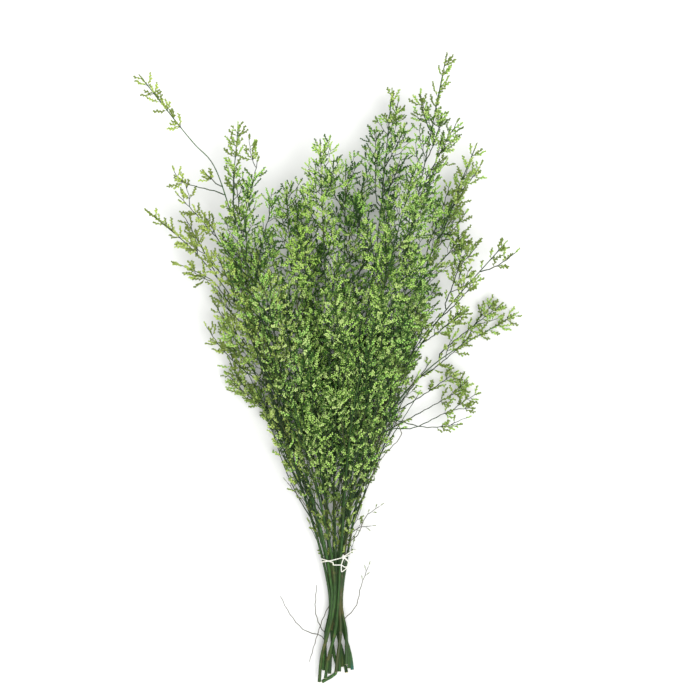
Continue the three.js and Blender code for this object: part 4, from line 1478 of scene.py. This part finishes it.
def grow_tubes(scene, part, name, green, sides):
    """Grows the stems or the twigs, in a green of their own."""
    tree = twig_tree()
    material = stem_material(name, scene.bunch_looks, green)
    inputs = {"Sides": sides, "Stalk sides": scene.bunch_sizes.stalk_sides, "Material": material}
    grow_part(part, tree, lambda n, slot: inputs)
    return {"FINISHED"}


class BUNCH_OT_stems(bpy.types.Operator):
    """Grow the main stems, from their cut ends to their tips"""

    bl_idname = "bunch.stems"
    bl_label = "Main stems"

    def execute(self, context):
        scene = context.scene
        return grow_tubes(scene, "stem", "dry_stem", scene.bunch_looks.stem, scene.bunch_sizes.stem_sides)


class BUNCH_OT_twigs(bpy.types.Operator):
    """Grow the branches, the twigs and the stalks of the flowers"""

    bl_idname = "bunch.twigs"
    bl_label = "Twigs and stalks"

    def execute(self, context):
        scene = context.scene
        return grow_tubes(scene, "twigs", "dry_twig", scene.bunch_looks.twig, scene.bunch_sizes.twig_sides)


class BUNCH_OT_flowers(bpy.types.Operator):
    """Grow the dry flowers along their stalks"""

    bl_idname = "bunch.flowers"
    bl_label = "Flowers"

    def execute(self, context):
        sizes, looks = context.scene.bunch_sizes, context.scene.bunch_looks
        tree = flower_tree()
        flower = self.flower()
        greens = {
            "soft_green": (looks.soft_pale, looks.soft_deep),
            "leaf_green": (looks.leaf_pale, looks.leaf_deep),
            "olive_green": (looks.olive_pale, looks.olive_deep),
        }
        materials = {slot: flower_material(slot + "_flower", looks, *pair) for slot, pair in greens.items()}
        grow_part("flowers", tree, lambda n, slot: {
            "Flower": flower, "Length": sizes.flower_length, "Width": sizes.flower_width,
            "Seed": sizes.seed + n, "Material": materials[slot],
        })
        bpy.data.meshes.remove(flower.data)
        return {"FINISHED"}

    def flower(self):
        """One dry flower, a unit long and wide: a funnel with a hollow cup."""
        sides, rim_radius, rim, cup = 5, 0.5, 0.85, 0.66
        corners = [(0.0, 0.0, 0.0)]
        for k in range(sides):
            angle = 2 * math.pi * k / sides
            corners.append((rim_radius * math.cos(angle), rim_radius * math.sin(angle), rim))
        corners.append((0.0, 0.0, cup))
        faces = []
        for k in range(sides):
            low, high = 1 + k, 1 + (k + 1) % sides
            faces += [(0, high, low), (low, high, sides + 1)]
        mesh = bpy.data.meshes.new("flower")
        mesh.from_pydata(corners, [], faces)
        along = mesh.attributes.new("along", "FLOAT", "POINT")
        along.data.foreach_set("value", [0.0] + [0.9] * sides + [1.0])
        return put("flower", mesh)


class BUNCH_OT_string(bpy.types.Operator):
    """Wind the white string round the stems, with its knot and its loose ends"""

    bl_idname = "bunch.string"
    bl_label = "String"

    def execute(self, context):
        sizes, looks = context.scene.bunch_sizes, context.scene.bunch_looks
        mesh = grow_mesh("tie_string_thread", string_ways(), thread_tree(), {
            "Plies": PLIES, "Ply radius": sizes.ply_radius, "Material": string_material(looks),
        })
        add_piece("tie_string_thread", mesh, "tie_string")
        return {"FINISHED"}


class BUNCH_OT_stage(bpy.types.Operator):
    """Lay the pale floor, set the soft light and the camera above the bunch"""

    bl_idname = "bunch.stage"
    bl_label = "Floor, light and camera"

    def execute(self, context):
        self.floor(context.scene.bunch_looks)
        self.light()
        self.world(context)
        self.camera(context)
        context.scene.view_settings.view_transform = "Standard"
        return {"FINISHED"}

    def floor(self, looks):
        mesh = bpy.data.meshes.new("floor")
        corners = [(FLOOR_HALF * x, FLOOR_HALF * y, 0) for x, y in ((-1, -1), (1, -1), (1, 1), (-1, 1))]
        mesh.from_pydata(corners, [], [(0, 1, 2, 3)])
        mesh.materials.append(floor_material(looks))
        put("floor", mesh)

    def light(self):
        """A wide soft light from one side, as even as a large studio panel far away."""
        lamp = bpy.data.lights.new("key_light", "SUN")
        lamp.energy = LIGHT_STRENGTH
        lamp.angle = math.radians(LIGHT_WIDTH)
        made = put("key_light", lamp)
        made.location = LIGHT_AT
        made.rotation_euler = mathutils.Vector(LIGHT_AT).to_track_quat("Z", "Y").to_euler()

    def world(self, context):
        world = bpy.data.worlds.new("soft_studio")
        world.use_nodes = True
        back = world.node_tree.nodes["Background"]
        back.inputs["Color"].default_value = WORLD_COLOUR
        back.inputs["Strength"].default_value = WORLD_STRENGTH
        context.scene.world = world

    def camera(self, context):
        view = bpy.data.cameras.new("camera")
        view.lens = CAMERA_LENS
        view.sensor_width = 36
        context.scene.camera = put("camera", view)
        context.scene.camera.location = CAMERA_AT


class BUNCH_PT_panel(bpy.types.Panel):
    """The pieces of the bunch and the sizes and colours that they are grown with"""

    bl_idname = "BUNCH_PT_panel"
    bl_label = "Dried sea lavender bunch"
    bl_space_type = "VIEW_3D"
    bl_region_type = "UI"
    bl_category = "Bunch"

    def draw(self, context):
        layout = self.layout
        for operator in OPERATORS:
            layout.operator(operator.bl_idname)
        for group in (context.scene.bunch_sizes, context.scene.bunch_looks):
            box = layout.box()
            for name in group.__annotations__:
                box.prop(group, name)


OPERATORS = (BUNCH_OT_stems, BUNCH_OT_twigs, BUNCH_OT_flowers, BUNCH_OT_string, BUNCH_OT_stage)
CLASSES = (BunchSizes, BunchLooks, *OPERATORS, BUNCH_PT_panel)


def register():
    for cls in CLASSES:
        bpy.utils.register_class(cls)
    bpy.types.Scene.bunch_sizes = PointerProperty(type=BunchSizes)
    bpy.types.Scene.bunch_looks = PointerProperty(type=BunchLooks)


def unregister():
    del bpy.types.Scene.bunch_looks
    del bpy.types.Scene.bunch_sizes
    for cls in reversed(CLASSES):
        bpy.utils.unregister_class(cls)


def main():
    register()
    bpy.ops.bunch.stems()
    bpy.ops.bunch.twigs()
    bpy.ops.bunch.flowers()
    bpy.ops.bunch.string()
    bpy.ops.bunch.stage()


if __name__ == "__main__":
    main()
